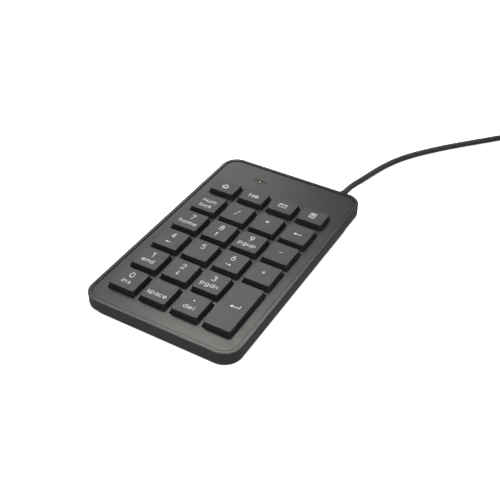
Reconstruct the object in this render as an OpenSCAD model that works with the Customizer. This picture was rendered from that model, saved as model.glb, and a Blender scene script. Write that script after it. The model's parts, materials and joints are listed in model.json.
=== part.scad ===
// Wired numeric keypad with 23 keys, in millimetres.
// The origin is on the table, under the centre of the housing. +X is to the user's right,
// +Y runs away from the user towards the cable, and +Z is up.

/* [Housing] */
// Width of the housing
body_w = 89.7; // [88.5:0.1:95]
// Length of the housing, front to rear
body_l = 147.7; // [146:0.1:155]
// Corner radius of the upper shell
corner_r = 9.6; // [8:0.1:12]
// Height of the rim's top above the table
rim_z = 10.4; // [10.3:0.05:10.6]
// Height of the key deck above the table
deck_z = 9.9; // [9.8:0.05:10.1]
// Height of the upper shell's lower edge above the table
shell_z = 4.6; // [4.5:0.1:4.8]
// Wall thickness of the upper shell
wall = 1.8; // [1.6:0.1:2]
// Thickness of the key deck
deck_t = 1.5; // [1.4:0.1:1.6]
// Width of the raised rim around the deck
rim_w = 2.3; // [2.2:0.1:3]
// Radius of the rounded outer edge of the rim
rim_fillet = 0.5; // [0.4:0.1:1.4]
// How far the lower tray stands in from the upper shell, on each side
tray_inset = 1.2; // [1:0.1:1.6]
// How far the lower tray stands in from the upper shell, at the front and rear
tray_end = 1.8; // [1.5:0.1:1.8]
// Height of the tray's underside above the table, set by the feet
tray_z = 0.3; // [0.25:0.05:0.4]

/* [Keys] */
// Distance from one key to the next
pitch = 19; // [18.8:0.05:19.2]
// Width of a key's top face
key_w = 14.96; // [14.5:0.02:15.2]
// Depth of a key's top face
key_d = 14.9; // [14.5:0.02:15.2]
// Depth of the top face on the short keys at the rear
short_d = 11.1; // [10.8:0.05:11.2]
// Height of the keys' top faces above the table
key_z = 13; // [12.9:0.05:13.1]
// How much wider a key is at its foot than at its top, on each side
key_flare = 0.65; // [0.4:0.05:0.7]
// Corner radius of a key's top face
key_r = 0.8; // [0.5:0.1:1.2]
// Travel of a key
travel = 2.2; // [1.8:0.1:2.2]
// Gap between a key's foot and its opening in the deck
key_gap = 0.25; // [0.2:0.05:0.3]
// Distance from the housing's centre to the middle of the front row of keys
front_row = -53.75; // [-54:0.05:-53.5]
// Distance from the housing's centre to the middle of the short row of keys
short_row = 40.8; // [40.6:0.05:41]
// Side of a key's square stem
stem_w = 4.6; // [4.4:0.1:4.8]

/* [Indicator] */
// Position of the indicator lens across the housing
lens_x = -15.8; // [-18:0.1:-14]
// Position of the indicator lens along the housing
lens_y = 59; // [58:0.1:60]
// Radius of the lens
lens_r = 1; // [0.8:0.1:1.1]
// Length of the almond-shaped hollow around the lens
almond_l = 10; // [9:0.5:12]
// Width of the almond-shaped hollow around the lens
almond_w = 2.8; // [2.6:0.1:3]

/* [Cable] */
// Diameter of the cable
cable_d = 3.6; // [3.6:0.01:3.61]
// Distance of the cable's outlet from the housing's centre line
outlet_x = 30; // [29.9:0.1:30.1]
// Height of the cable's outlet above the table
outlet_z = 5.6; // [5.5:0.05:5.65]
// Radius of the strain relief where it passes through the rear wall
relief_r = 2.3; // [2.2:0.05:2.3]
// How far the strain relief stands out of the rear wall
relief_l = 5; // [4.9:0.05:5]

/* [Plug] */
// Width of the plug's metal shell
usb_w = 12; // [11.95:0.01:12.05]
// Height of the plug's metal shell
usb_h = 4.5; // [4.45:0.01:4.55]
// Length of the plug's metal shell in front of its grip
usb_l = 18.7; // [18.6:0.05:18.8]
// Width of the plug's moulded grip
grip_w = 15.6; // [15:0.1:16]
// Thickness of the plug's moulded grip
grip_h = 8; // [7.8:0.1:8]
// Length of the plug's moulded grip
grip_l = 24; // [22:1:26]

/* [Hidden] */
$fn = 48;
e = 0.01;

// key layout: column and row of each key, counted from the front left
foot_w = key_w + 2*key_flare;
foot_d = key_d + 2*key_flare;
short_foot = short_d + 2*key_flare;
tall_d = pitch + key_d;
tall_foot = tall_d + 2*key_flare;
key_foot_z = deck_z - 0.6;
cap_t = 1.3;
cap_in_z = key_z - cap_t;
skirt_t = 1.1;
function kx(c) = (c - 1.5)*pitch;
function ky(r) = front_row + r*pitch;
enter_x = kx(3);
enter_y = (ky(0) + ky(1))/2;
// [x, y, foot depth] of every key
SPOTS = concat(
  [for (c = [0:2]) [kx(c), ky(0), foot_d]],
  [for (c = [0:2]) [kx(c), ky(1), foot_d]],
  [for (r = [2:4]) for (c = [0:3]) [kx(c), ky(r), foot_d]],
  [for (c = [0:3]) [kx(c), short_row, short_foot]],
  [[enter_x, enter_y, tall_foot]]);

// levels inside the housing
floor_z = tray_z + 1.2;
frame_z0 = 6.2;
frame_z1 = 6.9;
sleeve_z = cap_in_z - travel - 0.7;
hook_z = cap_in_z - travel - 0.2;
plate_z = 2.4;
plate_t = 0.4;
film_t = 0.13;
film_z = plate_z + plate_t;
dome_z = film_z + 3*film_t;
dome_t = 0.4;
dome_top = 6;
deck_in = deck_z - deck_t;
stack_w = 72;
stack_y0 = -62.5;
stack_y1 = 48.5;

// screws: [x, y]
CASE = [[-37.5, -67], [37.5, -67], [-39.6, 12.9], [39.6, 12.9], [-38.2, 58.2], [38.2, 58.2]];
FRAME = [[-39.4, -44], [39.4, -44], [-39.4, -6], [39.4, -6], [-39.4, 33], [39.4, 33]];
BOARD = [[-28.2, 65.3], [9.5, 65.3]];
board_x0 = -31;
board_x1 = 14;
board_y0 = 52.5;
board_y1 = 68.4;
board_z = 3.2;
board_t = 1;

// stabiliser wire of the tall key
wire_r = 0.5;
bar_x = enter_x + 4.6;
bar_z = 10.2;
leg_l = 8;
leg_drop = 2;
leg_run = sqrt(leg_l*leg_l - leg_drop*leg_drop);
wire_half = 11;
hook_y = 12.6;

// feet: [x, y]
FEET = [[-26, -64], [26, -64], [-26, 63], [26, 63]];
foot_top = tray_z + 0.7;

// cable route on the table, from the housing's rear wall to the coil
half_l = body_l/2;
cable_r = cable_d/2;
lie_z = 1.85;
ROUTE = [[30, 73.5, 5.6], [30, 78.6, 5.6], [30.2, 84, 5.5], [30.9, 91, 4.9], [31.8, 99, 3.4], [33.3, 109, 2.1],
  [36, 119.5, 1.85], [39.3, 128.5, 1.85], [43.1, 136.5, 1.85], [47.6, 144, 1.85], [53.8, 152.6, 1.85],
  [62, 162.8, 1.85], [71, 173, 1.85], [80, 182.8, 1.85], [89, 192.6, 1.85], [96.5, 200.8, 1.85], [103.5, 208.7, 1.85]];
TAIL = [[148.3, 191.6, 5.5], [148.3, 186, 5.3], [148.2, 180.5, 4.8], [148.1, 175, 4.3], [148, 170, 4]];
coil_x = 122.5;
coil_y = 191.6;
coil_r0 = 12.3;
coil_r1 = 27.7;
coil_h = 7.4;
plug_x = 148;
plug_y = 170;
plug_z = grip_h/2;
boot_l = 10;

// ---------- shared shapes ----------

// flat outline with front corners of radius ra and rear corners of radius rb
module outline(w, l, ra, rb) {
  union() {
    for (s = [-1, 1]) {
      translate([s*(w/2 - ra), -l/2 + ra]) circle(ra);
      translate([s*(w/2 - rb), l/2 - rb]) circle(rb);
    }
    translate([-w/2 + ra, -l/2]) square([w - 2*ra, l/2]);
    translate([-w/2 + rb, 0]) square([w - 2*rb, l/2]);
    translate([-w/2, -l/2 + ra]) square([w, l - ra - rb]);
  }
}

module slab(w, l, ra, rb, z0, z1) {
  translate([0, 0, z0]) linear_extrude(z1 - z0) outline(w, l, ra, rb);
}

// half profile of an edge whose top is rounded
module edge_profile(depth, h, f) {
  union() {
    square([depth, h - f]);
    square([depth - f, h]);
    translate([depth - f, h - f]) circle(f);
  }
}

// block with round corners and a round top edge
module rounded_block(w, l, r, z0, z1, f) {
  h = z1 - z0;
  translate([0, 0, z0]) union() {
    for (k = [0:3]) {
      sx = (k == 0 || k == 3) ? 1 : -1;
      sy = k < 2 ? 1 : -1;
      translate([sx*(w/2 - r), sy*(l/2 - r), 0]) rotate([0, 0, 90*k]) rotate_extrude(angle = 90) edge_profile(r, h, f);
    }
    for (s = [0, 1]) {
      rotate([0, 0, 180*s]) translate([w/2 - r, l/2 - r, 0]) rotate([90, 0, 0]) linear_extrude(l - 2*r) edge_profile(r, h, f);
      rotate([0, 0, 180*s]) translate([w/2 - r, -l/2 + r, 0]) rotate([90, 0, -90]) linear_extrude(w - 2*r) edge_profile(r, h, f);
    }
    translate([-w/2 + r, -l/2 + r, 0]) cube([w - 2*r, l - 2*r, h]);
  }
}

// upright cylinder between two levels
module post(x, y, r, z0, z1) {
  translate([x, y, z0]) cylinder(h = z1 - z0, r = r);
}

module bar(x, y, w, d, z0, z1) {
  translate([x - w/2, y - d/2, z0]) cube([w, d, z1 - z0]);
}

// outline of a key at one level
module key_outline(w, d, r) {
  for (x = [-1, 1]) for (y = [-1, 1]) translate([x*(w/2 - r), y*(d/2 - r)]) circle(r, $fn = 20);
}

// tapered solid between two key outlines
module key_taper(w0, d0, r0, z0, w1, d1, r1, z1) {
  hull() {
    translate([0, 0, z0]) linear_extrude(e) key_outline(w0, d0, r0);
    translate([0, 0, z1 - e]) linear_extrude(e) key_outline(w1, d1, r1);
  }
}

// ---------- housing ----------

module almond() {
  r = (almond_l*almond_l/4 + almond_w*almond_w/4)/almond_w;
  intersection() {
    for (s = [1]) translate([lens_x, lens_y + s*(r - almond_w/2), 0]) circle(r, $fn = 96);
    translate([lens_x, lens_y - (r - almond_w/2), 0]) circle(r, $fn = 96);
  }
}

module top_cover() {
  color([0.30, 0.30, 0.30]) difference() {
    union() {
      difference() {
        rounded_block(body_w, body_l, corner_r, shell_z, rim_z, rim_fillet);
        // inside
        slab(body_w - 2*wall, body_l - 2*wall, corner_r - wall, corner_r - wall, shell_z - 1, deck_in);
      }
      // screw bosses under the deck
      for (p = CASE) post(p[0], p[1], 2.7, 3.4, deck_in + 0.2);
      for (p = FRAME) post(p[0], p[1], 2, frame_z1, deck_in + 0.2);
      // collar around the light pipe
      post(lens_x, lens_y, 2.2, 7.6, deck_in + 0.2);
    }
    // deck, one step below the rim, with a fine groove along the step
    slab(body_w - 2*rim_w, body_l - 2*rim_w, corner_r - rim_w, corner_r - rim_w, deck_z, rim_z + 1);
    difference() {
      slab(body_w - 2*rim_w, body_l - 2*rim_w, corner_r - rim_w, corner_r - rim_w, deck_z - 0.15, rim_z + 1);
      slab(body_w - 2*rim_w - 0.8, body_l - 2*rim_w - 0.8, corner_r - rim_w - 0.4, corner_r - rim_w - 0.4, 0, rim_z + 2);
    }
    // key openings
    for (s = SPOTS) bar(s[0], s[1], foot_w + 2*key_gap, s[2] + 2*key_gap, deck_in - 1, rim_z + 1);
    // hollow and hole of the indicator
    translate([0, 0, deck_z - 0.4]) linear_extrude(2) almond();
    post(lens_x, lens_y, lens_r + 0.05, 7, deck_z + 1);
    // screw holes
    for (p = CASE) post(p[0], p[1], 1.02, 3, 8.3);
    for (p = FRAME) post(p[0], p[1], 0.82, 6, 8.8);
    // upper half of the cable outlet
    translate([outlet_x, half_l + 1, outlet_z]) rotate([90, 0, 0]) cylinder(h = 4, r = relief_r + 0.05);
  }
}

module base_cover() {
  w = body_w - 2*tray_inset;
  l = body_l - 2*tray_end;
  r = corner_r - tray_inset;
  color([0.16, 0.16, 0.16]) difference() {
    union() {
      difference() {
        union() {
          slab(w - 0.6, l - 0.6, 9.7, 21.1, tray_z, tray_z + 0.35);
          slab(w, l, 10, 21.4, tray_z + 0.3, 3.2);
          slab(w, l, r + 1.5, r, 3.1, shell_z);
          // lip inside the upper shell
          slab(body_w - 2*wall - 0.6, body_l - 2*wall - 0.6, r + 1.5, r - 0.7, 4, 6);
        }
        slab(w - 3.2, l - 3.2, 10, 18, floor_z, 7);
      }
      // bosses for the case screws
      for (p = CASE) post(p[0], p[1], 3.2, floor_z - 0.2, 3.4);
      // ribs under the support plate
      for (x = [-33, -11, 11, 33]) bar(x, (stack_y0 + stack_y1)/2, 1.2, stack_y1 - stack_y0 - 2, floor_z - 0.2, plate_z);
      for (y = [-50, -10, 30]) bar(0, y, stack_w - 4, 1.2, floor_z - 0.2, plate_z);
      // posts for the controller board
      for (p = BOARD) post(p[0], p[1], 2, floor_z - 0.2, board_z);
      // saddle under the cable's strain relief
      bar(outlet_x, 69.2, 9, 1.6, floor_z - 0.2, outlet_z);
    }
    for (p = CASE) {
      post(p[0], p[1], 2.4, 0, 2.2);
      post(p[0], p[1], 1.2, 0, 4);
      // room for the upper shell's bosses, which reach into the corners
      post(p[0], p[1], 2.85, 3.4, 7);
    }
    for (p = BOARD) post(p[0], p[1], 0.82, 1.6, 4);
    for (p = FEET) foot_shape(p, 0.15, 0, foot_top);
    translate([outlet_x, half_l + 1, outlet_z]) rotate([90, 0, 0]) cylinder(h = 5, r = relief_r + 0.05);
    // pocket for the strain relief's inner flange
    translate([outlet_x, half_l - 3, outlet_z]) rotate([90, 0, 0]) cylinder(h = 0.7, r = 2.85);
    translate([outlet_x, 71, outlet_z]) rotate([90, 0, 0]) cylinder(h = 6, r = cable_r + 0.05);
  }
}

module key_frame() {
  color([0.22, 0.22, 0.23]) difference() {
    union() {
      bar(0, -7.5, 76, 113, frame_z0, frame_z1);
      for (s = SPOTS) bar(s[0], s[1], 7, 7, frame_z0, sleeve_z);
      for (p = FRAME) post(p[0], p[1], 2.2, frame_z0, frame_z1);
      // hooks for the stabiliser wire
      for (s = [-1, 1]) bar(bar_x - leg_run, enter_y + s*(hook_y + 0.2), 3.2, 1.2, frame_z0, hook_z);
    }
    for (s = SPOTS) bar(s[0], s[1], stem_w + 0.4, stem_w + 0.4, frame_z0 - 1, sleeve_z + 1);
    for (p = FRAME) post(p[0], p[1], 1.05, 5, 8);
    for (s = [-1, 1]) translate([bar_x - leg_run - 5, enter_y + s*(hook_y + 0.2) - 1, bar_z - leg_drop - 0.6]) cube([6, 2, 1.2]);
    // room for the two case screws at the sides
    for (p = CASE) post(p[0], p[1], 3.1, 5, 8);
  }
}

// ---------- keys ----------

module key_body(w, d) {
  difference() {
    key_taper(w + 2*key_flare, d + 2*key_flare, key_r + 0.4, key_foot_z, w, d, key_r, key_z);
    key_taper(w + 2*key_flare - 2*skirt_t, d + 2*key_flare - 2*skirt_t, 0.5, key_foot_z - 1, w - 1.6, d - 1.6, 0.4, cap_in_z);
  }
}

module keycap(x, y, d) {
  color([0.20, 0.20, 0.20]) translate([x, y, 0]) union() {
    key_body(key_w, d);
    bar(0, 0, stem_w, stem_w, dome_top + 0.1, cap_in_z + 0.2);
    // ribs that stiffen the cap
    bar(0, 0, key_w - 2.2, 1, cap_in_z - 0.5, cap_in_z + 0.2);
    bar(0, 0, 1, d - 2.2, cap_in_z - 0.5, cap_in_z + 0.2);
  }
}

module enter_keycap() {
  color([0.20, 0.20, 0.20]) difference() {
    union() {
      translate([enter_x, enter_y, 0]) key_body(key_w, tall_d);
      bar(enter_x, enter_y, stem_w, stem_w, dome_top + 0.1, cap_in_z + 0.2);
      bar(enter_x, enter_y, 1, tall_d - 2.2, cap_in_z - 0.5, cap_in_z + 0.2);
      // eyes that hold the stabiliser wire
      for (s = [-1, 1]) bar(bar_x, enter_y + s*7, 2.2, 2, bar_z - 0.8, cap_in_z + 0.2);
    }
    for (s = [-1, 1]) translate([bar_x, enter_y + s*7 + 2, bar_z]) rotate([90, 0, 0]) cylinder(h = 4, r = wire_r + 0.06, $fn = 32);
  }
}

module rod(p, q, r) {
  v = q - p;
  h = norm(v);
  translate(p) rotate([0, acos(v[2]/h), atan2(v[1], v[0])]) cylinder(h = h, r = r, $fn = 32);
}

module enter_stabiliser_wire() {
  color([0.75, 0.75, 0.76]) union() {
    rod([bar_x, enter_y - wire_half, bar_z], [bar_x, enter_y + wire_half, bar_z], wire_r);
    for (s = [-1, 1]) {
      a = [bar_x, enter_y + s*wire_half, bar_z];
      b = [bar_x - leg_run, enter_y + s*wire_half, bar_z - leg_drop];
      rod(a, b, wire_r);
      rod(b, [b[0], enter_y + s*(hook_y + 0.8), b[2]], wire_r);
      translate(a) sphere(wire_r, $fn = 32);
      translate(b) sphere(wire_r, $fn = 32);
    }
  }
}

// ---------- switch layers ----------

module sheet(t0, t1) {
  bar(0, (stack_y0 + stack_y1)/2, stack_w, stack_y1 - stack_y0, t0, t1);
}

module support_plate() { color([0.62, 0.63, 0.65]) sheet(plate_z, plate_z + plate_t); }

module membrane_bottom_film() {
  color([0.80, 0.84, 0.82]) union() {
    sheet(film_z, film_z + film_t);
    bar(-12, 51.5, 22, 8, film_z, film_z + film_t);
  }
}

module membrane_spacer() {
  color([0.88, 0.90, 0.90]) difference() {
    sheet(film_z + film_t, film_z + 2*film_t);
    for (s = SPOTS) post(s[0], s[1], 2.5, film_z, dome_z);
  }
}

module membrane_top_film() { color([0.80, 0.84, 0.82]) sheet(film_z + 2*film_t, dome_z); }

module rubber_dome_sheet() {
  color([0.86, 0.86, 0.84]) difference() {
    sheet(dome_z, dome_z + dome_t);
    for (s = SPOTS) post(s[0], s[1], 4.2, dome_z - 1, dome_z + 1);
  }
}

module rubber_domes() {
  color([0.90, 0.90, 0.88]) for (s = SPOTS) translate([s[0], s[1], dome_z]) rotate_extrude()
    polygon([[3.2, 0], [4.2, 0], [4.2, dome_t], [3.4, dome_t + 0.3], [2.2, 1.9], [2.2, dome_top - dome_z], [0, dome_top - dome_z], [0, 1.5], [1.5, 1.5]]);
}

// ---------- electronics ----------

module controller_board() {
  color([0.10, 0.32, 0.18]) difference() {
    translate([board_x0, board_y0, board_z]) cube([board_x1 - board_x0, board_y1 - board_y0, board_t]);
    for (p = BOARD) post(p[0], p[1], 1.1, 3, 5);
  }
}

module controller_chip() {
  color([0.06, 0.06, 0.06]) union() {
    bar(-2, 60.5, 6, 7.5, board_z + board_t + 0.15, board_z + board_t + 1.5);
    for (y = [-3, -1.8, -0.6, 0.6, 1.8, 3]) for (s = [-1, 1]) bar(-2 + s*3.6, 60.5 + y, 1.4, 0.4, board_z + board_t, board_z + board_t + 0.5);
  }
}

module cable_connector() {
  color([0.90, 0.88, 0.82]) bar(10.5, 58, 5, 8, board_z + board_t, board_z + board_t + 3.4);
}

module indicator_led() {
  color([0.85, 0.95, 0.80]) union() {
    bar(lens_x, lens_y, 3, 1.8, board_z + board_t, board_z + board_t + 0.7);
    post(lens_x, lens_y, 0.7, board_z + board_t + 0.6, board_z + board_t + 1.1);
  }
}

module indicator_lens() {
  color([0.80, 0.95, 0.80]) union() {
    post(lens_x, lens_y, lens_r, 5.6, deck_z - 0.15);
    post(lens_x, lens_y, 1.6, 6.8, 7.6);
  }
}

module inner_lead() {
  color([0.10, 0.10, 0.10]) union() {
    rod([outlet_x, 73.5, outlet_z], [outlet_x, 66, outlet_z], cable_r);
    translate([outlet_x, 66, outlet_z]) sphere(cable_r);
    rod([outlet_x, 66, outlet_z], [24, 58, outlet_z], cable_r);
    translate([24, 58, outlet_z]) sphere(cable_r);
    rod([24, 58, outlet_z], [15.5, 58, outlet_z], cable_r);
    rod([15.6, 58, outlet_z], [13, 58, outlet_z], 1);
  }
}

module strain_relief() {
  color([0.08, 0.08, 0.08]) difference() {
    translate([outlet_x, 0, outlet_z]) rotate([-90, 0, 0]) rotate_extrude()
      polygon([[0, half_l - 3.55], [2.75, half_l - 3.55], [2.75, half_l - 3.05], [relief_r, half_l - 3.05], [relief_r, half_l + 0.2], [2.75, half_l + 0.2], [2.75, half_l + 1], [2.3, half_l + relief_l], [0, half_l + relief_l]]);
    translate([outlet_x, 69, outlet_z]) rotate([-90, 0, 0]) cylinder(h = 12, r = cable_r + 0.03);
  }
}

// ---------- fasteners and feet ----------

module screw(x, y, z, head_r, head_h, shank_r, shank_l) {
  translate([x, y, z]) difference() {
    union() {
      cylinder(h = head_h, r = head_r);
      cylinder(h = head_h + shank_l, r = shank_r);
    }
    for (a = [0, 90]) rotate([0, 0, a]) translate([-head_r*0.6, -0.25, -1]) cube([head_r*1.2, 0.5, 1.6]);
  }
}

module case_screws() {
  color([0.30, 0.30, 0.32]) for (p = CASE) screw(p[0], p[1], 1, 2, 1.2, 1, 5.8);
}

module board_screws() {
  color([0.70, 0.70, 0.72]) for (p = BOARD) translate([p[0], p[1], board_z + board_t]) mirror([0, 0, 1]) translate([0, 0, -1]) screw(0, 0, 0, 1.7, 1, 0.8, 2.4);
}

module frame_screws() {
  color([0.70, 0.70, 0.72]) for (p = FRAME) screw(p[0], p[1], frame_z0 - 0.9, 1.6, 0.9, 0.8, 2.4);
}

module foot_shape(p, grow, z0, z1) {
  union() {
    for (s = [-1, 1]) post(p[0] + s*4, p[1], 3 + grow, z0, z1);
    bar(p[0], p[1], 8, 6 + 2*grow, z0, z1);
  }
}

module rubber_feet() {
  color([0.05, 0.05, 0.05]) for (p = FEET) foot_shape(p, 0, 0, foot_top);
}

// ---------- cable and plug ----------

// point on a smooth curve through the route's points
function pick(pts, i) = pts[max(0, min(len(pts) - 1, i))];
function curve(pts, i, t) =
  let (a = pick(pts, i - 1), b = pick(pts, i), c = pick(pts, i + 1), d = pick(pts, i + 2))
  0.5*(2*b + (c - a)*t + (2*a - 5*b + 4*c - d)*t*t + (3*b - a - 3*c + d)*t*t*t);
function path(pts) = concat([for (i = [0:len(pts) - 2]) for (t = [0, 0.5]) curve(pts, i, t)], [pts[len(pts) - 1]]);
function unit(v) = v/norm(v);

module tube(pts, r, n = 8) {
  c = path(pts);
  m = len(c);
  rings = [for (i = [0:m - 1])
    let (t = unit(c[min(i + 1, m - 1)] - c[max(i - 1, 0)]), s = unit(cross(t, [0, 0, 1])), u = cross(s, t))
    for (j = [0:n - 1]) c[i] + r*(cos(360*j/n)*s + sin(360*j/n)*u)];
  polyhedron(rings, concat(
    [[for (j = [n - 1:-1:0]) j]],
    [[for (j = [0:n - 1]) (m - 1)*n + j]],
    [for (i = [0:m - 2]) for (j = [0:n - 1]) [i*n + j, i*n + (j + 1)%n, (i + 1)*n + (j + 1)%n, (i + 1)*n + j]]));
}

module usb_cable() {
  color([0.07, 0.07, 0.07]) {
    tube(ROUTE, cable_r);
    tube(TAIL, cable_r);
  }
}

module usb_cable_coil() {
  color([0.07, 0.07, 0.07]) translate([coil_x, coil_y, 0]) difference() {
    rotate_extrude($fn = 96) translate([coil_r0, 0]) square([coil_r1 - coil_r0, coil_h]);
    translate([-2.6, 0, -1]) cube([5.2, 40, 1.6]);
  }
}

module cable_tie() {
  color([0.12, 0.12, 0.12]) translate([coil_x - 2.5, coil_y, 0]) difference() {
    translate([0, 11.2, 0]) cube([5, 17.2, coil_h + 0.6]);
    translate([-1, 11.8, 0.55]) cube([7, 16, coil_h - 0.5]);
  }
}

module plug_grip() {
  color([0.09, 0.09, 0.09]) translate([plug_x, plug_y, plug_z]) rotate([90, 0, 0]) union() {
    translate([0, 0, boot_l]) linear_extrude(grip_l) offset(r = 1.6, $fn = 32) square([grip_w - 3.2, grip_h - 3.2], center = true);
    cylinder(h = boot_l + 1, r1 = 2.4, r2 = 3.4);
  }
}

module plug_shell() {
  color([0.80, 0.80, 0.82]) translate([plug_x, plug_y - boot_l - grip_l - usb_l, plug_z]) difference() {
    translate([-usb_w/2, 0, -usb_h/2]) cube([usb_w, usb_l, usb_h]);
    translate([-usb_w/2 + 0.3, -1, -usb_h/2 + 0.3]) cube([usb_w - 0.6, usb_l + 2, usb_h - 0.6]);
    for (s = [-1, 1]) translate([s*2.6 - 1.1, 6.1, -4]) cube([2.2, 2.2, 8]);
  }
}

module plug_insulator() {
  color([0.92, 0.92, 0.90]) translate([plug_x, plug_y - boot_l - grip_l - usb_l, plug_z]) union() {
    translate([-5.6, 0.6, -1.9]) cube([11.2, usb_l - 0.6, 1.9]);
    translate([-5.6, usb_l - 6, -1.9]) cube([11.2, 6, 3.8]);
  }
}

module plug_contacts() {
  color([0.85, 0.70, 0.35]) for (x = [-3.5, -1, 1, 3.5])
    translate([plug_x + x - 0.5, plug_y - boot_l - grip_l - usb_l + (abs(x) > 2 ? 1 : 2), plug_z]) cube([1, usb_l - 6 - (abs(x) > 2 ? 1 : 2), 0.12]);
}

top_cover();
base_cover();
key_frame();
keycap(kx(0), ky(0), key_d);  // key_0
keycap(kx(1), ky(0), key_d);  // key_space
keycap(kx(2), ky(0), key_d);  // key_decimal
enter_keycap();  // key_enter
keycap(kx(0), ky(1), key_d);  // key_1
keycap(kx(1), ky(1), key_d);  // key_2
keycap(kx(2), ky(1), key_d);  // key_3
keycap(kx(0), ky(2), key_d);  // key_4
keycap(kx(1), ky(2), key_d);  // key_5
keycap(kx(2), ky(2), key_d);  // key_6
keycap(kx(3), ky(2), key_d);  // key_plus
keycap(kx(0), ky(3), key_d);  // key_7
keycap(kx(1), ky(3), key_d);  // key_8
keycap(kx(2), ky(3), key_d);  // key_9
keycap(kx(3), ky(3), key_d);  // key_minus
keycap(kx(0), ky(4), key_d);  // key_num_lock
keycap(kx(1), ky(4), key_d);  // key_divide
keycap(kx(2), ky(4), key_d);  // key_multiply
keycap(kx(3), ky(4), key_d);  // key_backspace
keycap(kx(0), short_row, short_d);  // key_home_page
keycap(kx(1), short_row, short_d);  // key_tab
keycap(kx(2), short_row, short_d);  // key_mail
keycap(kx(3), short_row, short_d);  // key_calculator
enter_stabiliser_wire();
rubber_dome_sheet();
rubber_domes();
membrane_top_film();
membrane_spacer();
membrane_bottom_film();
support_plate();
controller_board();
controller_chip();
cable_connector();
indicator_led();
indicator_lens();
inner_lead();
strain_relief();
case_screws();
board_screws();
frame_screws();
rubber_feet();
usb_cable();
usb_cable_coil();
cable_tie();
plug_grip();
plug_shell();
plug_insulator();
plug_contacts();
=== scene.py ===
"""A wired numeric keypad: the looks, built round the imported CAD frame. Lengths in the helpers are millimetres."""
import json
import math

import bmesh
import bpy
from mathutils import Matrix, Vector
from mathutils.geometry import delaunay_2d_cdt


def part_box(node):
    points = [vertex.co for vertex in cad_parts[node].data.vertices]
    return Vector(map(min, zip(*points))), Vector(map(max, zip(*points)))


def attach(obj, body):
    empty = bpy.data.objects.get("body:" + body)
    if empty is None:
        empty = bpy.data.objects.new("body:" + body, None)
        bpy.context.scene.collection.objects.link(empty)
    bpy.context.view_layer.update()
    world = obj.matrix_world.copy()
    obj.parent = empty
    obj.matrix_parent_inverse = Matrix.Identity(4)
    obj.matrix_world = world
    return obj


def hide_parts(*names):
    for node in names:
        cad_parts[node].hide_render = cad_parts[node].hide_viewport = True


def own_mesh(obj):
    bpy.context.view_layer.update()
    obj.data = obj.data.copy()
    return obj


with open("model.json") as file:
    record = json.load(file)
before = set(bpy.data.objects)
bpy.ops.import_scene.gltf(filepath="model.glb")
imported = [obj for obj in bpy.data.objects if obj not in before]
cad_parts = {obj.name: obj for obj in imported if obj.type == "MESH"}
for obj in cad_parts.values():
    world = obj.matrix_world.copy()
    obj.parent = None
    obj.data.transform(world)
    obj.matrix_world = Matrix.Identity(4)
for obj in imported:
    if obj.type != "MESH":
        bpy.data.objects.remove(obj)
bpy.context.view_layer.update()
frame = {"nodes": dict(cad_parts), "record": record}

MM = 0.001
scene = bpy.context.scene


# ------------------------------------------------------------------ camera
cam_data = bpy.data.cameras.new("camera")
cam_data.sensor_width = 36.0
cam_data.lens = 62.135
cam_data.clip_start = 0.01
cam_data.clip_end = 30.0
cam = bpy.data.objects.new("camera", cam_data)
scene.collection.objects.link(cam)
RIGHT = Vector((0.86413, 0.50325, 0.00431))
DOWN = Vector((0.32211, -0.54647, -0.77305))
AHEAD = Vector((-0.38669, 0.66941, -0.63433))
cam.matrix_world = Matrix((
    (RIGHT.x, -DOWN.x, -AHEAD.x, 0.19077),
    (RIGHT.y, -DOWN.y, -AHEAD.y, -0.31021),
    (RIGHT.z, -DOWN.z, -AHEAD.z, 0.30435),
    (0, 0, 0, 1)))
scene.camera = cam


# ------------------------------------------------------------------ materials
def new_material(name):
    m = bpy.data.materials.new(name)
    m.use_nodes = True
    t = m.node_tree
    t.nodes.clear()
    out = t.nodes.new("ShaderNodeOutputMaterial")
    bsdf = t.nodes.new("ShaderNodeBsdfPrincipled")
    t.links.new(bsdf.outputs["BSDF"], out.inputs["Surface"])
    return m, t, bsdf


def noise(t, coord, size_mm, detail=3.0, rough=0.55):
    """Noise whose features are about size_mm across, over the row frame."""
    n = t.nodes.new("ShaderNodeTexNoise")
    n.inputs["Scale"].default_value = 1000.0 / size_mm
    n.inputs["Detail"].default_value = detail
    n.inputs["Roughness"].default_value = rough
    t.links.new(coord, n.inputs["Vector"])
    return n.outputs["Fac"]


def span(t, value, lo, hi, a, b):
    r = t.nodes.new("ShaderNodeMapRange")
    r.clamp = True
    for k, v in (("From Min", lo), ("From Max", hi), ("To Min", a), ("To Max", b)):
        r.inputs[k].default_value = v
    t.links.new(value, r.inputs["Value"])
    return r.outputs["Result"]


def maths(t, op, a, b):
    m = t.nodes.new("ShaderNodeMath")
    m.operation = op
    for k, v in enumerate((a, b)):
        if isinstance(v, (int, float)):
            m.inputs[k].default_value = v
        else:
            t.links.new(v, m.inputs[k])
    return m.outputs[0]


def mix(t, fac, a, b):
    m = t.nodes.new("ShaderNodeMix")
    m.data_type = "RGBA"
    t.links.new(fac, m.inputs["Factor"])
    for k, v in (("A", a), ("B", b)):
        s = [x for x in m.inputs if x.name == k and x.type == "RGBA"][0]
        if isinstance(v, (tuple, list)):
            s.default_value = (*v, 1.0)
        else:
            t.links.new(v, s)
    return [x for x in m.outputs if x.type == "RGBA"][0]


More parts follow.
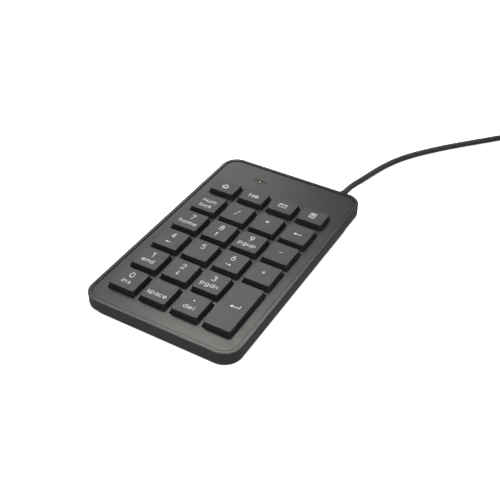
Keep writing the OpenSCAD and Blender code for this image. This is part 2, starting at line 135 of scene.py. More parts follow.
def moulded(name, colour, rough, grain=0.35, relief=0.004, spread=0.05, worn=None, worn_amount=0.0, drift=0.12,
            specular=0.5, sheen=0.0, tint=(1.0, 1.0, 1.0), painted_shade_under=None):
    """Moulded plastic or rubber: a fine spark-eroded grain, slow drift in gloss and tone, and paler, smoother edges."""
    m, t, b = new_material(name)
    coord = t.nodes.new("ShaderNodeTexCoord").outputs["Object"]
    fine = noise(t, coord, grain, 2.0, 0.6)
    mid = noise(t, coord, 4.0, 3.0, 0.6)
    slow = noise(t, coord, 45.0, 2.0, 0.5)
    dark = tuple(c * (1 - drift) for c in colour)
    pale = tuple(c * (1 + drift) for c in colour)
    tone = mix(t, span(t, slow, 0.3, 0.7, 0.0, 1.0), dark, pale)
    tone = mix(t, span(t, fine, 0.35, 0.75, 0.0, 0.35), tone, tuple(c * 1.35 for c in colour))
    grit = noise(t, coord, grain * 2.7, 2.0, 0.6)
    r = maths(t, "ADD", span(t, mid, 0.3, 0.7, rough - spread, rough + spread), span(t, fine, 0.3, 0.7, -0.03, 0.03))
    if worn is not None:
        edge = t.nodes.new("ShaderNodeAttribute")
        edge.attribute_type = "GEOMETRY"
        edge.attribute_name = "edge"
        wear = maths(t, "MULTIPLY", edge.outputs["Fac"], span(t, noise(t, coord, 2.6, 4.0, 0.65), 0.42, 0.66, 0.35, 1.0))
        wear = maths(t, "MULTIPLY", wear, worn_amount)
        tone = mix(t, wear, tone, worn)
        r = maths(t, "SUBTRACT", r, maths(t, "MULTIPLY", wear, 0.18))
    t.links.new(tone, b.inputs["Base Color"])
    t.links.new(r, b.inputs["Roughness"])
    b.inputs["Specular IOR Level"].default_value = specular
    b.inputs["Specular Tint"].default_value = (*tint, 1.0)
    if painted_shade_under is not None:      # painted shade: the base colour darkens where the surface faces down, so the top stays paler as if lit from above
        up = t.nodes.new("ShaderNodeSeparateXYZ")
        t.links.new(t.nodes.new("ShaderNodeNewGeometry").outputs["Normal"], up.inputs[0])
        t.links.new(mix(t, span(t, up.outputs["Z"], 0.1, 0.75, 0.0, 1.0), tuple(c * painted_shade_under for c in colour), tone), b.inputs["Base Color"])
    if sheen:
        b.inputs["Sheen Weight"].default_value = sheen
        b.inputs["Sheen Roughness"].default_value = 0.4
    bump = t.nodes.new("ShaderNodeBump")
    bump.inputs["Strength"].default_value = 1.0
    bump.inputs["Distance"].default_value = relief * MM
    height = maths(t, "ADD", fine, maths(t, "MULTIPLY", grit, 0.9))
    t.links.new(height, bump.inputs["Height"])
    t.links.new(bump.outputs["Normal"], b.inputs["Normal"])
    return m


def metal(name, colour, rough, grain=(0.3, 0.3, 0.3), relief=0.002, spots=0.0, stretch=(1, 1, 1)):
    """Plated or drawn metal with fine lines along one way, slight tarnish and scuffed gloss."""
    m, t, b = new_material(name)
    tc = t.nodes.new("ShaderNodeTexCoord").outputs["Object"]
    mp = t.nodes.new("ShaderNodeMapping")
    mp.inputs["Scale"].default_value = stretch
    t.links.new(tc, mp.inputs["Vector"])
    lines = noise(t, mp.outputs["Vector"], grain[0], 4.0, 0.6)
    cloud = noise(t, tc, 6.0, 4.0, 0.6)
    tone = mix(t, span(t, cloud, 0.35, 0.7, 0.0, 1.0), tuple(c * 0.86 for c in colour), colour)
    if spots:
        tone = mix(t, span(t, noise(t, tc, 0.9, 2.0, 0.5), 0.62, 0.72, 0.0, spots), tone, tuple(c * 0.45 for c in colour))
    t.links.new(tone, b.inputs["Base Color"])
    b.inputs["Metallic"].default_value = 1.0
    t.links.new(span(t, lines, 0.3, 0.7, rough - 0.08, rough + 0.10), b.inputs["Roughness"])
    bump = t.nodes.new("ShaderNodeBump")
    bump.inputs["Distance"].default_value = relief * MM
    t.links.new(lines, bump.inputs["Height"])
    t.links.new(bump.outputs["Normal"], b.inputs["Normal"])
    return m


def clear(name, colour, rough=0.12, weight=0.7, glow=0.0, glow_colour=(0.6, 1.0, 0.55), spot=None):
    m, t, b = new_material(name)
    tc = t.nodes.new("ShaderNodeTexCoord").outputs["Object"]
    haze = noise(t, tc, 1.4, 3.0, 0.6)
    t.links.new(mix(t, span(t, haze, 0.35, 0.7, 0.0, 1.0), tuple(c * 0.9 for c in colour), colour), b.inputs["Base Color"])
    t.links.new(span(t, haze, 0.3, 0.7, rough - 0.04, rough + 0.06), b.inputs["Roughness"])
    b.inputs["Transmission Weight"].default_value = weight
    b.inputs["IOR"].default_value = 1.49
    if glow:
        b.inputs["Emission Color"].default_value = (*glow_colour, 1.0)
        b.inputs["Emission Strength"].default_value = glow
    if spot:
        # smoked, and the light comes out of the middle only
        b.inputs["Specular IOR Level"].default_value = 0.12
        mp = t.nodes.new("ShaderNodeMapping")
        mp.inputs["Location"].default_value = (-spot[0] * MM, -spot[1] * MM, 0)
        t.links.new(tc, mp.inputs["Vector"])
        flat = t.nodes.new("ShaderNodeVectorMath")
        flat.operation = "MULTIPLY"
        flat.inputs[1].default_value = (1, 1, 0)
        t.links.new(mp.outputs["Vector"], flat.inputs[0])
        far = t.nodes.new("ShaderNodeVectorMath")
        far.operation = "LENGTH"
        t.links.new(flat.outputs["Vector"], far.inputs[0])
        t.links.new(span(t, far.outputs["Value"], 0.16 * MM, 0.52 * MM, glow, 0.0), b.inputs["Emission Strength"])
    return m


KEY_TONE = (0.0208, 0.0210, 0.0203)
SHELL_TONE = (0.0123, 0.0125, 0.0116)
M = {
    "key_plastic": moulded("key_plastic", KEY_TONE, 0.47, tint=(0.995, 1.0, 0.975), grain=0.16, relief=0.0035, spread=0.02, worn=(0.045, 0.045, 0.045), worn_amount=0.5),
    "shell_plastic": moulded("shell_plastic", SHELL_TONE, 0.34, tint=(0.985, 1.0, 0.935), grain=0.18, relief=0.0030, spread=0.025, worn=(0.05, 0.05, 0.049), worn_amount=0.5, drift=0.10),
    "tray_plastic": moulded("tray_plastic", (0.0108, 0.011, 0.0103), 0.50, tint=(0.985, 1.0, 0.935), grain=0.25, relief=0.005, worn=(0.04, 0.04, 0.04), worn_amount=0.35),
    "frame_plastic": moulded("frame_plastic", (0.02, 0.02, 0.021), 0.48),
    "legend_ink": moulded("legend_ink", (0.74, 0.75, 0.73), 0.55, grain=0.18, relief=0.002, drift=0.04, spread=0.06),
    "dome_silicone": moulded("dome_silicone", (0.72, 0.72, 0.69), 0.42, grain=0.5, relief=0.002, drift=0.03),
    "membrane_film": moulded("membrane_film", (0.62, 0.67, 0.64), 0.2, grain=0.6, relief=0.0008, drift=0.03),
    "chip_resin": moulded("chip_resin", (0.016, 0.016, 0.017), 0.6, grain=0.15, relief=0.004),
    "connector_nylon": moulded("connector_nylon", (0.66, 0.62, 0.52), 0.45, grain=0.4, relief=0.003, drift=0.05),
    # the cable's raised tone paints a highlight on its top, and the darkening to a quarter of it paints shade on its
    # underside
    "cable_jacket": moulded("cable_jacket", (0.034, 0.034, 0.0325), 0.34, grain=0.5, relief=0.004, spread=0.05, drift=0.12, specular=0.8, painted_shade_under=0.25),
    "relief_rubber": moulded("relief_rubber", (0.013, 0.013, 0.013), 0.5, grain=0.3, relief=0.004, worn=(0.05, 0.05, 0.05), worn_amount=0.3),
    "foot_rubber": moulded("foot_rubber", (0.010, 0.010, 0.010), 0.78, grain=0.25, relief=0.01, worn=(0.05, 0.05, 0.048), worn_amount=0.5),
    "plug_vinyl": moulded("plug_vinyl", (0.013, 0.013, 0.0135), 0.45, grain=0.3, relief=0.006, worn=(0.06, 0.06, 0.06), worn_amount=0.4),
    "plug_nylon": moulded("plug_nylon", (0.70, 0.70, 0.67), 0.38, grain=0.3, relief=0.002, drift=0.03),
    "tie_strap": moulded("tie_strap", (0.012, 0.012, 0.013), 0.95, grain=0.22, relief=0.09, drift=0.25, sheen=0.6, specular=0.2),
    "spring_wire": metal("spring_wire", (0.62, 0.62, 0.63), 0.24, stretch=(1, 0.05, 1)),
    "sheet_metal": metal("sheet_metal", (0.66, 0.67, 0.69), 0.34, grain=(0.2,), stretch=(1, 0.02, 1)),
    "screw_steel": metal("screw_steel", (0.60, 0.60, 0.61), 0.28, spots=0.3),
    "screw_steel_black": metal("screw_steel_black", (0.10, 0.10, 0.105), 0.36, spots=0.4),
    "plug_steel": metal("plug_steel", (0.72, 0.71, 0.69), 0.2, grain=(0.15,), stretch=(1, 0.03, 1), spots=0.15),
    "contact_gold": metal("contact_gold", (0.83, 0.62, 0.26), 0.2, grain=(0.1,), stretch=(1, 0.05, 1)),
    "led_resin": clear("led_resin", (0.75, 0.95, 0.7), weight=0.5, glow=2.0),
    "lens_clear": clear("lens_clear", (0.012, 0.020, 0.010), rough=0.45, weight=0.0, glow=1.6, glow_colour=(0.86, 1.0, 0.78), spot=(-15.8, 59.0)),
}


def board_material():
    m, t, b = new_material("circuit_board")
    tc = t.nodes.new("ShaderNodeTexCoord").outputs["Object"]
    v = t.nodes.new("ShaderNodeTexVoronoi")
    v.feature = "DISTANCE_TO_EDGE"
    v.inputs["Scale"].default_value = 420.0
    t.links.new(tc, v.inputs["Vector"])
    track = span(t, v.outputs["Distance"], 0.03, 0.06, 1.0, 0.0)
    t.links.new(mix(t, track, (0.010, 0.075, 0.030), (0.020, 0.13, 0.050)), b.inputs["Base Color"])
    t.links.new(span(t, noise(t, tc, 2.0), 0.3, 0.7, 0.22, 0.36), b.inputs["Roughness"])
    bump = t.nodes.new("ShaderNodeBump")
    bump.inputs["Distance"].default_value = 0.00003
    t.links.new(track, bump.inputs["Height"])
    t.links.new(bump.outputs["Normal"], b.inputs["Normal"])
    return m


M["circuit_board"] = board_material()
SLOTS = {s["node"]: s["material_slot"] for s in frame["record"]["subparts"]}
for node, obj in frame["nodes"].items():
    obj.data.materials.clear()
    obj.data.materials.append(M[SLOTS[node]])


# ------------------------------------------------------------------ mesh helpers
def rect(w, d, r, cx=0.0, cy=0.0, n=8, rear=None):
    """Round-cornered outline, anticlockwise from the right rear corner. rear is the rear corners' radius."""
    rb = r if rear is None else rear
    pts = []
    for sx, sy, rr, a0 in ((1, 1, rb, 0), (-1, 1, rb, 90), (-1, -1, r, 180), (1, -1, r, 270)):
        ox, oy = cx + sx * (w / 2 - rr), cy + sy * (d / 2 - rr)
        for k in range(n + 1):
            a = math.radians(a0 + 90 * k / n)
            pts.append((ox + rr * math.cos(a), oy + rr * math.sin(a)))
    return pts


def ring(cx, cy, r, n=32, turn=0.0):
    return [(cx + r * math.cos(2 * math.pi * k / n + turn), cy + r * math.sin(2 * math.pi * k / n + turn)) for k in range(n)]


class Form:
    """A mesh under construction. Points carry how much they lie on an edge, for wear."""

    def __init__(self):
        self.bm = bmesh.new()
        self.edge = self.bm.verts.layers.float.new("edge")

    def loop(self, pts, z=None, edge=0.0):
        out = []
        for p in pts:
            v = self.bm.verts.new(((p[0]) * MM, (p[1]) * MM, (p[2] if z is None else z) * MM))
            v[self.edge] = edge
            out.append(v)
        return out

    def skin(self, *loops, closed=True):
        for a, b in zip(loops[:-1], loops[1:]):
            n = len(a)
            for i in range(n if closed else n - 1):
                j = (i + 1) % n
                self.bm.faces.new((a[i], a[j], b[j], b[i]))

    def cap(self, loop):
        self.bm.faces.new(loop)

    def fill(self, *loops):
        """A flat face inside the first loop, with the other loops as holes."""
        edges = []
        for l in loops:
            for i in range(len(l)):
                a, b = l[i], l[(i + 1) % len(l)]
                edges.append(self.bm.edges.get((a, b)) or self.bm.edges.new((a, b)))
        bmesh.ops.triangle_fill(self.bm, use_beauty=True, use_dissolve=False, edges=edges)

    def box(self, x0, y0, z0, x1, y1, z1, r=0.0, n=3, b=0.0):
        """Closed block with round upright corners and small chamfers."""
        w, d = x1 - x0, y1 - y0
        cx, cy = (x0 + x1) / 2, (y0 + y1) / 2
        r = max(r, 0.02)
        rows = []
        if b > 0:
            rows.append(self.loop(rect(w - 2 * b, d - 2 * b, max(r - b, 0.01), cx, cy, n), z0))
            rows.append(self.loop(rect(w, d, r, cx, cy, n), z0 + b, 0.5))
            rows.append(self.loop(rect(w, d, r, cx, cy, n), z1 - b, 0.5))
            rows.append(self.loop(rect(w - 2 * b, d - 2 * b, max(r - b, 0.01), cx, cy, n), z1))
        else:
            rows.append(self.loop(rect(w, d, r, cx, cy, n), z0))
            rows.append(self.loop(rect(w, d, r, cx, cy, n), z1))
        self.skin(*rows)
        self.cap(rows[0])
        self.cap(rows[-1])

    def lathe(self, profile, at=(0, 0, 0), axis="z", n=32, close=True):
        """profile: (radius, height, edge) rows from one end to the other; ends of radius 0 close to a point."""
        rows = []
        for row in profile:
            r, h = row[0], row[1]
            e = row[2] if len(row) > 2 else 0.0
            pts = []
            for k in range(n):
                a = 2 * math.pi * k / n
                u, v = r * math.cos(a), r * math.sin(a)
                if axis == "z":
                    pts.append((at[0] + u, at[1] + v, at[2] + h))
                elif axis == "y":
                    pts.append((at[0] + v, at[1] + h, at[2] + u))
                else:
                    pts.append((at[0] + h, at[1] + u, at[2] + v))
            rows.append(self.loop(pts, edge=e))
        self.skin(*rows)
        if close:
            self.cap(rows[0])
            self.cap(rows[-1])

    def done(self, name, material, body, angle=38):
        bmesh.ops.recalc_face_normals(self.bm, faces=self.bm.faces[:])
        me = bpy.data.meshes.new(name)
        self.bm.to_mesh(me)
        self.bm.free()
        me.materials.append(M[material])
        me.shade_smooth()
        me.set_sharp_from_angle(angle=math.radians(angle))
        ob = bpy.data.objects.new(name, me)
        scene.collection.objects.link(ob)
        wn = ob.modifiers.new("even_shading", "WEIGHTED_NORMAL")
        wn.keep_sharp = True
        wn.weight = 100
        if body:
            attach(ob, body)
        return ob


def arc(steps, r):
    """(run, rise) pairs of a quarter round of radius r, from its start to its end."""
    return [(r * math.sin(math.pi / 2 * k / steps), r * (1 - math.cos(math.pi / 2 * k / steps))) for k in range(steps + 1)]


def at_mm(v):
    return [c / MM for c in v]


def mid_mm(node):
    lo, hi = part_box(node)
    return (lo.x + hi.x) / 2 / MM, (lo.y + hi.y) / 2 / MM


# ------------------------------------------------------------------ keys
KEYS = sorted(n for n in frame["nodes"] if n.startswith("key_") and n != "key_frame")
FLARE, KEY_R, CAP_T, SKIRT = 0.65, 0.8, 1.3, 1.1
KEY_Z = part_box("key_5")[1].z / MM
FOOT_Z = 9.3
TOP_EDGE = 0.30
DISH = 0.05      # depth of the caps' very shallow hollow


def keycap(node):
    lo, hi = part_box(node)
    cx, cy = mid_mm(node)
    fw, fd = (hi.x - lo.x) / MM, (hi.y - lo.y) / MM
    w, d = fw - 2 * FLARE, fd - 2 * FLARE
    f = Form()
    n = 6
    rows = []
    # inside of the skirt, from the ceiling down to the foot
    rows.append(f.loop(rect(w - 1.6, d - 1.6, 0.4, cx, cy, n), KEY_Z - CAP_T))
    rows.append(f.loop(rect(fw - 2 * SKIRT, fd - 2 * SKIRT, 0.5, cx, cy, n), FOOT_Z))
    rows.append(f.loop(rect(fw - 0.2, fd - 0.2, 1.1, cx, cy, n), FOOT_Z, 0.2))
    rows.append(f.loop(rect(fw, fd, 1.2, cx, cy, n), FOOT_Z + 0.1, 0.2))
    # tapered side up to the rounded edge
    b = TOP_EDGE
    rise = KEY_Z - FOOT_Z

    def side(z):
        s = (z - FOOT_Z) / rise
        return fw - 2 * FLARE * s, fd - 2 * FLARE * s, 1.2 - 0.4 * s
    ww, dd, rr = side(KEY_Z - b)
    rows.append(f.loop(rect(ww, dd, rr, cx, cy, n), KEY_Z - b))
    for k, (run, up) in enumerate(arc(5, 1.0)[1:], 1):
        # quarter round that starts along the side and ends flat
        a = math.pi / 2 * k / 5
        inset = b * (1 - math.cos(a)) * 0.92
        z = KEY_Z - b + b * math.sin(a)
        rows.append(f.loop(rect(ww - 2 * inset, dd - 2 * inset, max(rr - inset * 0.6, 0.3), cx, cy, n), z, 0.0 if k == 5 else 1.0 - abs(k - 2.5) / 4))
    # flat top with a very shallow dish
    f.skin(*rows)
    f.cap(rows[0])
    # the top is dished by a tenth of a millimetre
    tw, td = ww - 2 * b * 0.92, dd - 2 * b * 0.92
    rings = [rows[-1]]
    for m in (0.85, 0.75, 0.65, 0.55, 0.45):
        rings.append(f.loop(rect(tw * m, td * m, 0.8 + (1 - m), cx, cy, n), KEY_Z - DISH * (1.0 - max(0.0, m - 0.45) / 0.4)))
    f.skin(*rings)
    f.cap(rings[-1])
    # stem and stiffening ribs
    f.box(cx - 2.3, cy - 2.3, 6.1, cx + 2.3, cy + 2.3, KEY_Z - CAP_T + 0.3, 0.3, 3, 0.15)
    for (x0, y0, x1, y1) in ((cx - w / 2 + 1.3, cy - 0.5, cx - 2.4, cy + 0.5), (cx + 2.4, cy - 0.5, cx + w / 2 - 1.3, cy + 0.5),
                             (cx - 0.5, cy - d / 2 + 1.3, cx + 0.5, cy - 2.4), (cx - 0.5, cy + 2.4, cx + 0.5, cy + d / 2 - 1.3)):
        f.box(x0, y0, KEY_Z - CAP_T - 0.5, x1, y1, KEY_Z - CAP_T + 0.2, 0.1, 1)
    if node == "key_enter":
        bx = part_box("enter_stabiliser_wire")[1].x / MM - 0.5
        for s in (-1, 1):
            # an open eye for the wire: two cheeks and a bridge
            f.box(bx - 1.1, cy + s * 7 - 1, 9.5, bx - 0.56, cy + s * 7 + 1, KEY_Z - CAP_T + 0.2, 0.1, 1)
            f.box(bx + 0.56, cy + s * 7 - 1, 9.5, bx + 1.1, cy + s * 7 + 1, KEY_Z - CAP_T + 0.2, 0.1, 1)
    ob = f.done("cap_" + node, "key_plastic", node, angle=40)
    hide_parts(node)
    return ob


for key in KEYS:
    keycap(key)


# ------------------------------------------------------------------ legends
INK = 0.018     # thickness of the printed ink
PEN = 0.30      # width of its strokes


def sweep(cx, cy, rx, ry, a0, a1, step=15):
    n = max(2, int(abs(a1 - a0) / step))
    return [(cx + rx * math.cos(math.radians(a0 + (a1 - a0) * k / n)), cy + ry * math.sin(math.radians(a0 + (a1 - a0) * k / n))) for k in range(n + 1)]


def bowl(cx, cy, rx, ry):
    return sweep(cx, cy, rx, ry, 0, 360)


# A plain single-stroke alphabet: (advance, strokes), with the height of a small letter, or of a digit, as 1
GLYPHS = {
    "a": (0.84, [bowl(0.42, 0.5, 0.42, 0.5), [(0.84, 1), (0.84, 0)]]),
    "b": (0.84, [bowl(0.42, 0.5, 0.42, 0.5), [(0, 1.5), (0, 0)]]),
    "c": (0.74, [sweep(0.45, 0.5, 0.45, 0.5, 48, 312)]),
    "d": (0.84, [bowl(0.42, 0.5, 0.42, 0.5), [(0.84, 1.5), (0.84, 0)]]),
    "e": (0.84, [[(0.01, 0.52), (0.83, 0.52)], sweep(0.42, 0.5, 0.42, 0.5, 3, 318)]),
    "g": (0.84, [bowl(0.42, 0.5, 0.42, 0.5), [(0.84, 1), (0.84, -0.10)] + sweep(0.43, -0.12, 0.41, 0.38, -10, -142)]),
    "h": (0.76, [[(0, 1.5), (0, 0)], sweep(0.38, 0.60, 0.38, 0.40, 180, 0) + [(0.76, 0)]]),
    "i": (0.0, [[(0, 1), (0, 0)], [(0, 1.40), (0, 1.44)]]),
    "k": (0.66, [[(0, 1.5), (0, 0)], [(0.60, 1), (0.0, 0.42)], [(0.20, 0.61), (0.66, 0)]]),
    "l": (0.0, [[(0, 1.5), (0, 0)]]),
    "m": (1.26, [[(0, 1), (0, 0)], sweep(0.315, 0.64, 0.315, 0.36, 180, 0) + [(0.63, 0)], sweep(0.945, 0.64, 0.315, 0.36, 180, 0) + [(1.26, 0)]]),
    "n": (0.76, [[(0, 1), (0, 0)], sweep(0.38, 0.60, 0.38, 0.40, 180, 0) + [(0.76, 0)]]),
    "o": (0.92, [bowl(0.46, 0.5, 0.46, 0.5)]),
    "p": (0.84, [bowl(0.42, 0.5, 0.42, 0.5), [(0, 1), (0, -0.5)]]),
    "s": (0.60, [sweep(0.31, 0.755, 0.27, 0.245, 40, 250) + sweep(0.30, 0.25, 0.29, 0.25, 75, -145)]),
    "t": (0.50, [[(0.20, 1.38), (0.20, 0.28)] + sweep(0.44, 0.26, 0.24, 0.26, 185, 285), [(0, 1), (0.50, 1)]]),
    "u": (0.76, [[(0, 1)] + sweep(0.38, 0.40, 0.38, 0.40, 180, 360), [(0.76, 1), (0.76, 0)]]),
    "0": (0.58, [bowl(0.29, 0.5, 0.29, 0.5)]),
    "1": (0.30, [[(0.0, 0.80), (0.26, 1), (0.26, 0)]]),
    "2": (0.54, [sweep(0.27, 0.73, 0.26, 0.27, 168, -38) + [(0.0, 0.0), (0.55, 0.0)]]),
    "3": (0.54, [sweep(0.25, 0.76, 0.24, 0.24, 150, -90) + sweep(0.25, 0.26, 0.28, 0.26, 90, -150)]),
    "4": (0.62, [[(0.45, 0), (0.45, 1), (0.0, 0.29), (0.62, 0.29)]]),
    "5": (0.54, [[(0.50, 1), (0.10, 1), (0.05, 0.57)] + sweep(0.25, 0.32, 0.29, 0.32, 118, -145)]),
    "6": (0.56, [bowl(0.28, 0.30, 0.28, 0.30), [(0.40, 1), (0.22, 0.80), (0.08, 0.58), (0.0, 0.34)]]),
    "7": (0.56, [[(0, 1), (0.56, 1), (0.18, 0)]]),
    "8": (0.56, [bowl(0.28, 0.755, 0.235, 0.245), bowl(0.28, 0.27, 0.28, 0.27)]),
    "9": (0.56, [bowl(0.28, 0.70, 0.28, 0.30), [(0.56, 0.66), (0.48, 0.42), (0.34, 0.20), (0.16, 0)]]),
}


def ribbon(pts, w, closed=False):
    """Patches that cover a stroke of width w along pts, with round ends and round sharp corners."""
    kept = []
    for p in pts:
        if not kept or math.dist(p, kept[-1]) > 1e-4:
            kept.append(p)
    n = len(kept)
    pts = [Vector(p) for p in kept]
    segs = [(i, (i + 1) % n) for i in range(n if closed else n - 1)]
    way = [(pts[j] - pts[i]).normalized() for i, j in segs]
    m = len(segs)

    def corner(k1, k2):
        """Half-width offset shared by two segments, or None where they turn sharply."""
        if way[k1].dot(way[k2]) < 0.6:
            return None
        t = (way[k1] + way[k2]).normalized()
        nrm = Vector((-t.y, t.x))
        return nrm * (w / 2 / nrm.dot(Vector((-way[k2].y, way[k2].x))))
    out = []
    for k, (i, j) in enumerate(segs):
        own = Vector((-way[k].y, way[k].x)) * (w / 2)
        first = corner((k - 1) % m, k) if (closed or k > 0) else None
        last = corner(k, (k + 1) % m) if (closed or k < m - 1) else None
        a, b = (own if first is None else first), (own if last is None else last)
        out.append([tuple(pts[i] - a), tuple(pts[j] - b), tuple(pts[j] + b), tuple(pts[i] + a)])
        if first is None:
            out.append(ring(pts[i].x, pts[i].y, w / 2 * 0.985, 12, 0.13))
        if last is None:
            out.append(ring(pts[j].x, pts[j].y, w / 2 * 0.985, 12, 0.13))
    return out


def word(txt, width, cap, x=0.0, base=0.0, pen=PEN):
    """Patches of a word: cap is the height of a small letter or a digit, width the whole word's, ink to ink."""
    gap = 0.46 if txt[0].isalpha() else 0.5
    natural = sum(GLYPHS[ch][0] for ch in txt) + gap * (len(txt) - 1)
    kx = (width - pen) / natural if natural > 0 else 1.0
    ky = cap - pen
    if txt in ("1",):
        kx = ky * 0.9
    out, at = [], -natural * kx / 2
    for ch in txt:
        adv, strokes = GLYPHS[ch]
        for st in strokes:
            closed = len(st) > 8 and math.dist(st[0], st[-1]) < 1e-6
            pts = [(x + at + px * kx, base + pen / 2 + py * ky) for px, py in (st[:-1] if closed else st)]
            out += ribbon(pts, pen, closed)
        at += (adv + gap) * kx
    return out


def arrow(length, head, x, y, way, w=0.34, broad=0.58):
    """A thin arrow centred on x, y, pointing way (a unit vector)."""
    h = length / 2
    c, s = way

    def turn(px, py):
        return (x + px * c - py * s, y + px * s + py * c)
    shaft = [turn(*q) for q in ((-h, -w / 2), (h - head * 0.6, -w / 2), (h - head * 0.6, w / 2), (-h, w / 2))]
    tip = [turn(*q) for q in ((h - head, -head * broad), (h, 0), (h - head, head * broad))]
    return [shaft, tip]


def frame_patches(x0, y0, x1, y1, w, r=0.25):
    pts = rect(x1 - x0 - w, y1 - y0 - w, r, (x0 + x1) / 2, (y0 + y1) / 2, 3)
    return ribbon(pts, w, True)


def slab2(x0, y0, x1, y1):
    return [(x0, y0), (x1, y0), (x1, y1), (x0, y1)]


def legend_patches(node):
    X = -0.2
    digit = {"key_%d" % k: str(k) for k in range(10)}
    out = []
    if node in digit:
        out += word(digit[node], 2.45, 3.9, X + (-0.15 if node == "key_1" else 0), 0.95, 0.36)
    small = {"key_0": ("ins", 5.3, 0.1), "key_1": ("end", 7.4, -0.05), "key_3": ("pgdn", 10.2, 0.05), "key_7": ("home", 11.2, 0.0), "key_9": ("pgup", 10.2, 0.0),
             "key_decimal": ("del", 6.2, 0.0), "key_space": ("space", 11.4, 0.1)}
    if node in small:
        txt, w, dx = small[node]
        out += word(txt, w, 2.15, X + dx, -3.75)
    if node == "key_num_lock":
        out += word("num", 8.6, 2.15, X, 0.15) + word("lock", 7.7, 2.15, X, -4.6)
    if node == "key_tab":
        out += word("tab", 6.5, 2.15, X, -1.3)
    if node == "key_2":
        out += arrow(3.3, 1.25, X, -2.65, (0, -1))
    if node == "key_8":
        out += arrow(3.3, 1.25, X, -3.1, (0, 1))
    if node == "key_4":
        out += arrow(3.3, 1.25, X + 0.1, -2.95, (-1, 0))
    if node == "key_6":
        out += arrow(3.3, 1.25, X, -2.9, (1, 0))
    if node == "key_decimal":
        out += [ring(X, 2.75, 0.46, 20)]
    if node == "key_divide":
        out += ribbon([(X - 0.85, -2.25), (X + 0.95, 2.25)], 0.28)
    if node == "key_multiply":
        for a in (90, 30, 150):
            c, q = math.cos(math.radians(a)), math.sin(math.radians(a))
            out += ribbon([(-0.4 - c * 1.05, 1.2 - q * 1.05), (-0.4 + c * 1.05, 1.2 + q * 1.05)], 0.26)
    if node == "key_minus":
        out += ribbon([(X - 0.72, 0.55), (X + 0.72, 0.55)], 0.34)
    if node == "key_plus":
        out += ribbon([(-0.1 - 1.0, 0.75), (-0.1 + 1.0, 0.75)], 0.32) + ribbon([(-0.1, 0.75 - 1.0), (-0.1, 0.75 + 1.0)], 0.32)
    if node == "key_backspace":
        out += arrow(5.0, 1.5, 0.2, -0.25, (-1, 0), 0.36, 0.6)
    if node == "key_enter":
        out += arrow(1.9, 1.55, -1.35, -0.55, (-1, 0), 0.36, 0.58) + ribbon([(-1.5, -0.55), (3.05, -0.55), (3.05, 1.35)], 0.36)
    if node == "key_home_page":
        # a plain little house
        out += ribbon([(-2.0, -0.05), (-0.1, 1.7), (1.8, -0.05)], 0.42)
        out += ribbon([(-1.35, 0.35), (-1.35, -1.65), (1.15, -1.65), (1.15, 0.35)], 0.38)
        out += ribbon([(-0.1, -1.55), (-0.1, -0.65)], 0.5)
    if node == "key_mail":
        # an envelope
        out += frame_patches(-2.75, -1.45, 2.15, 1.75, 0.26, 0.3)
        out += ribbon([(-2.5, 1.5), (-0.3, -0.1), (1.9, 1.5)], 0.26)
    if node == "key_calculator":
        # a pocket calculator
        out += frame_patches(-2.1, -1.9, 1.5, 2.6, 0.30, 0.4)
        out += [slab2(-1.2, 1.05, 0.6, 1.75)]
        for x in (-0.85, 0.25):
            for y in (0.15, -0.85):
                out += [slab2(x - 0.28, y - 0.26, x + 0.28, y + 0.26)]
    return out


def legend(node):
    patches = legend_patches(node)
    if not patches:
        return
    lo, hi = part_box(node)
    cx, cy = mid_mm(node)
    w, d = (hi.x - lo.x) / MM - 2 * FLARE - 2 * TOP_EDGE, (hi.y - lo.y) / MM - 2 * FLARE - 2 * TOP_EDGE
    flat_pts, loops = [], []
    for poly in patches:
        area = sum(poly[i][0] * poly[(i + 1) % len(poly)][1] - poly[(i + 1) % len(poly)][0] * poly[i][1] for i in range(len(poly)))
        if area < 0:
            poly = poly[::-1]
        loops.append(list(range(len(flat_pts), len(flat_pts) + len(poly))))
        flat_pts += [Vector(q) for q in poly]
    # one clean sheet without overlaps
    verts, _, faces, _, _, src = delaunay_2d_cdt(flat_pts, [], loops, 1, 1e-4, True)
    bm = bmesh.new()
    vs = [bm.verts.new((v[0], v[1], 0)) for v in verts]
    for fc, origin in zip(faces, src):
        if origin:
            bm.faces.new([vs[i] for i in fc])
    bmesh.ops.delete(bm, geom=[v for v in bm.verts if not v.link_faces], context="VERTS")
    bmesh.ops.dissolve_limit(bm, angle_limit=math.radians(1), verts=bm.verts[:], edges=bm.edges[:])
    bmesh.ops.triangulate(bm, faces=bm.faces[:])
    res = bmesh.ops.extrude_face_region(bm, geom=bm.faces[:])
    upset = {v for v in res["geom"] if isinstance(v, bmesh.types.BMVert)}

    def surface(x, y):
        """Height of the cap's top under a point, from the rings it is made of."""
        m = max(abs(x) / (w / 2), abs(y) / (d / 2))
        return -DISH * max(0.0, 1.0 - max(0.0, m - 0.45) / 0.4)
    for v in bm.verts:
        z = KEY_Z + surface(v.co.x, v.co.y) + (INK if v in upset else -0.03)
        v.co = Vector(((cx + v.co.x) * MM, (cy + v.co.y) * MM, z * MM))
    bmesh.ops.recalc_face_normals(bm, faces=bm.faces[:])
    me = bpy.data.meshes.new("legend_" + node)
    bm.to_mesh(me)
    bm.free()
    me.materials.append(M["legend_ink"])
    ob = bpy.data.objects.new("legend_" + node, me)
    scene.collection.objects.link(ob)
    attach(ob, node)


for key in KEYS:
    legend(key)


# ------------------------------------------------------------------ upper shell
lo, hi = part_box("top_cover")
W, L = (hi.x - lo.x) / MM, (hi.y - lo.y) / MM
RIM_Z, DECK_Z, SHELL_Z = hi.z / MM, 9.9, lo.z / MM
CROWN, CREST = 0.10, 1.5
DECK_IN, WALL, RIM_W, FILLET, CORNER = 8.4, 1.8, 2.3, 0.38, 9.6
LENS = mid_mm("indicator_lens")
OUT_X, OUT_Z = 30.0, 5.6


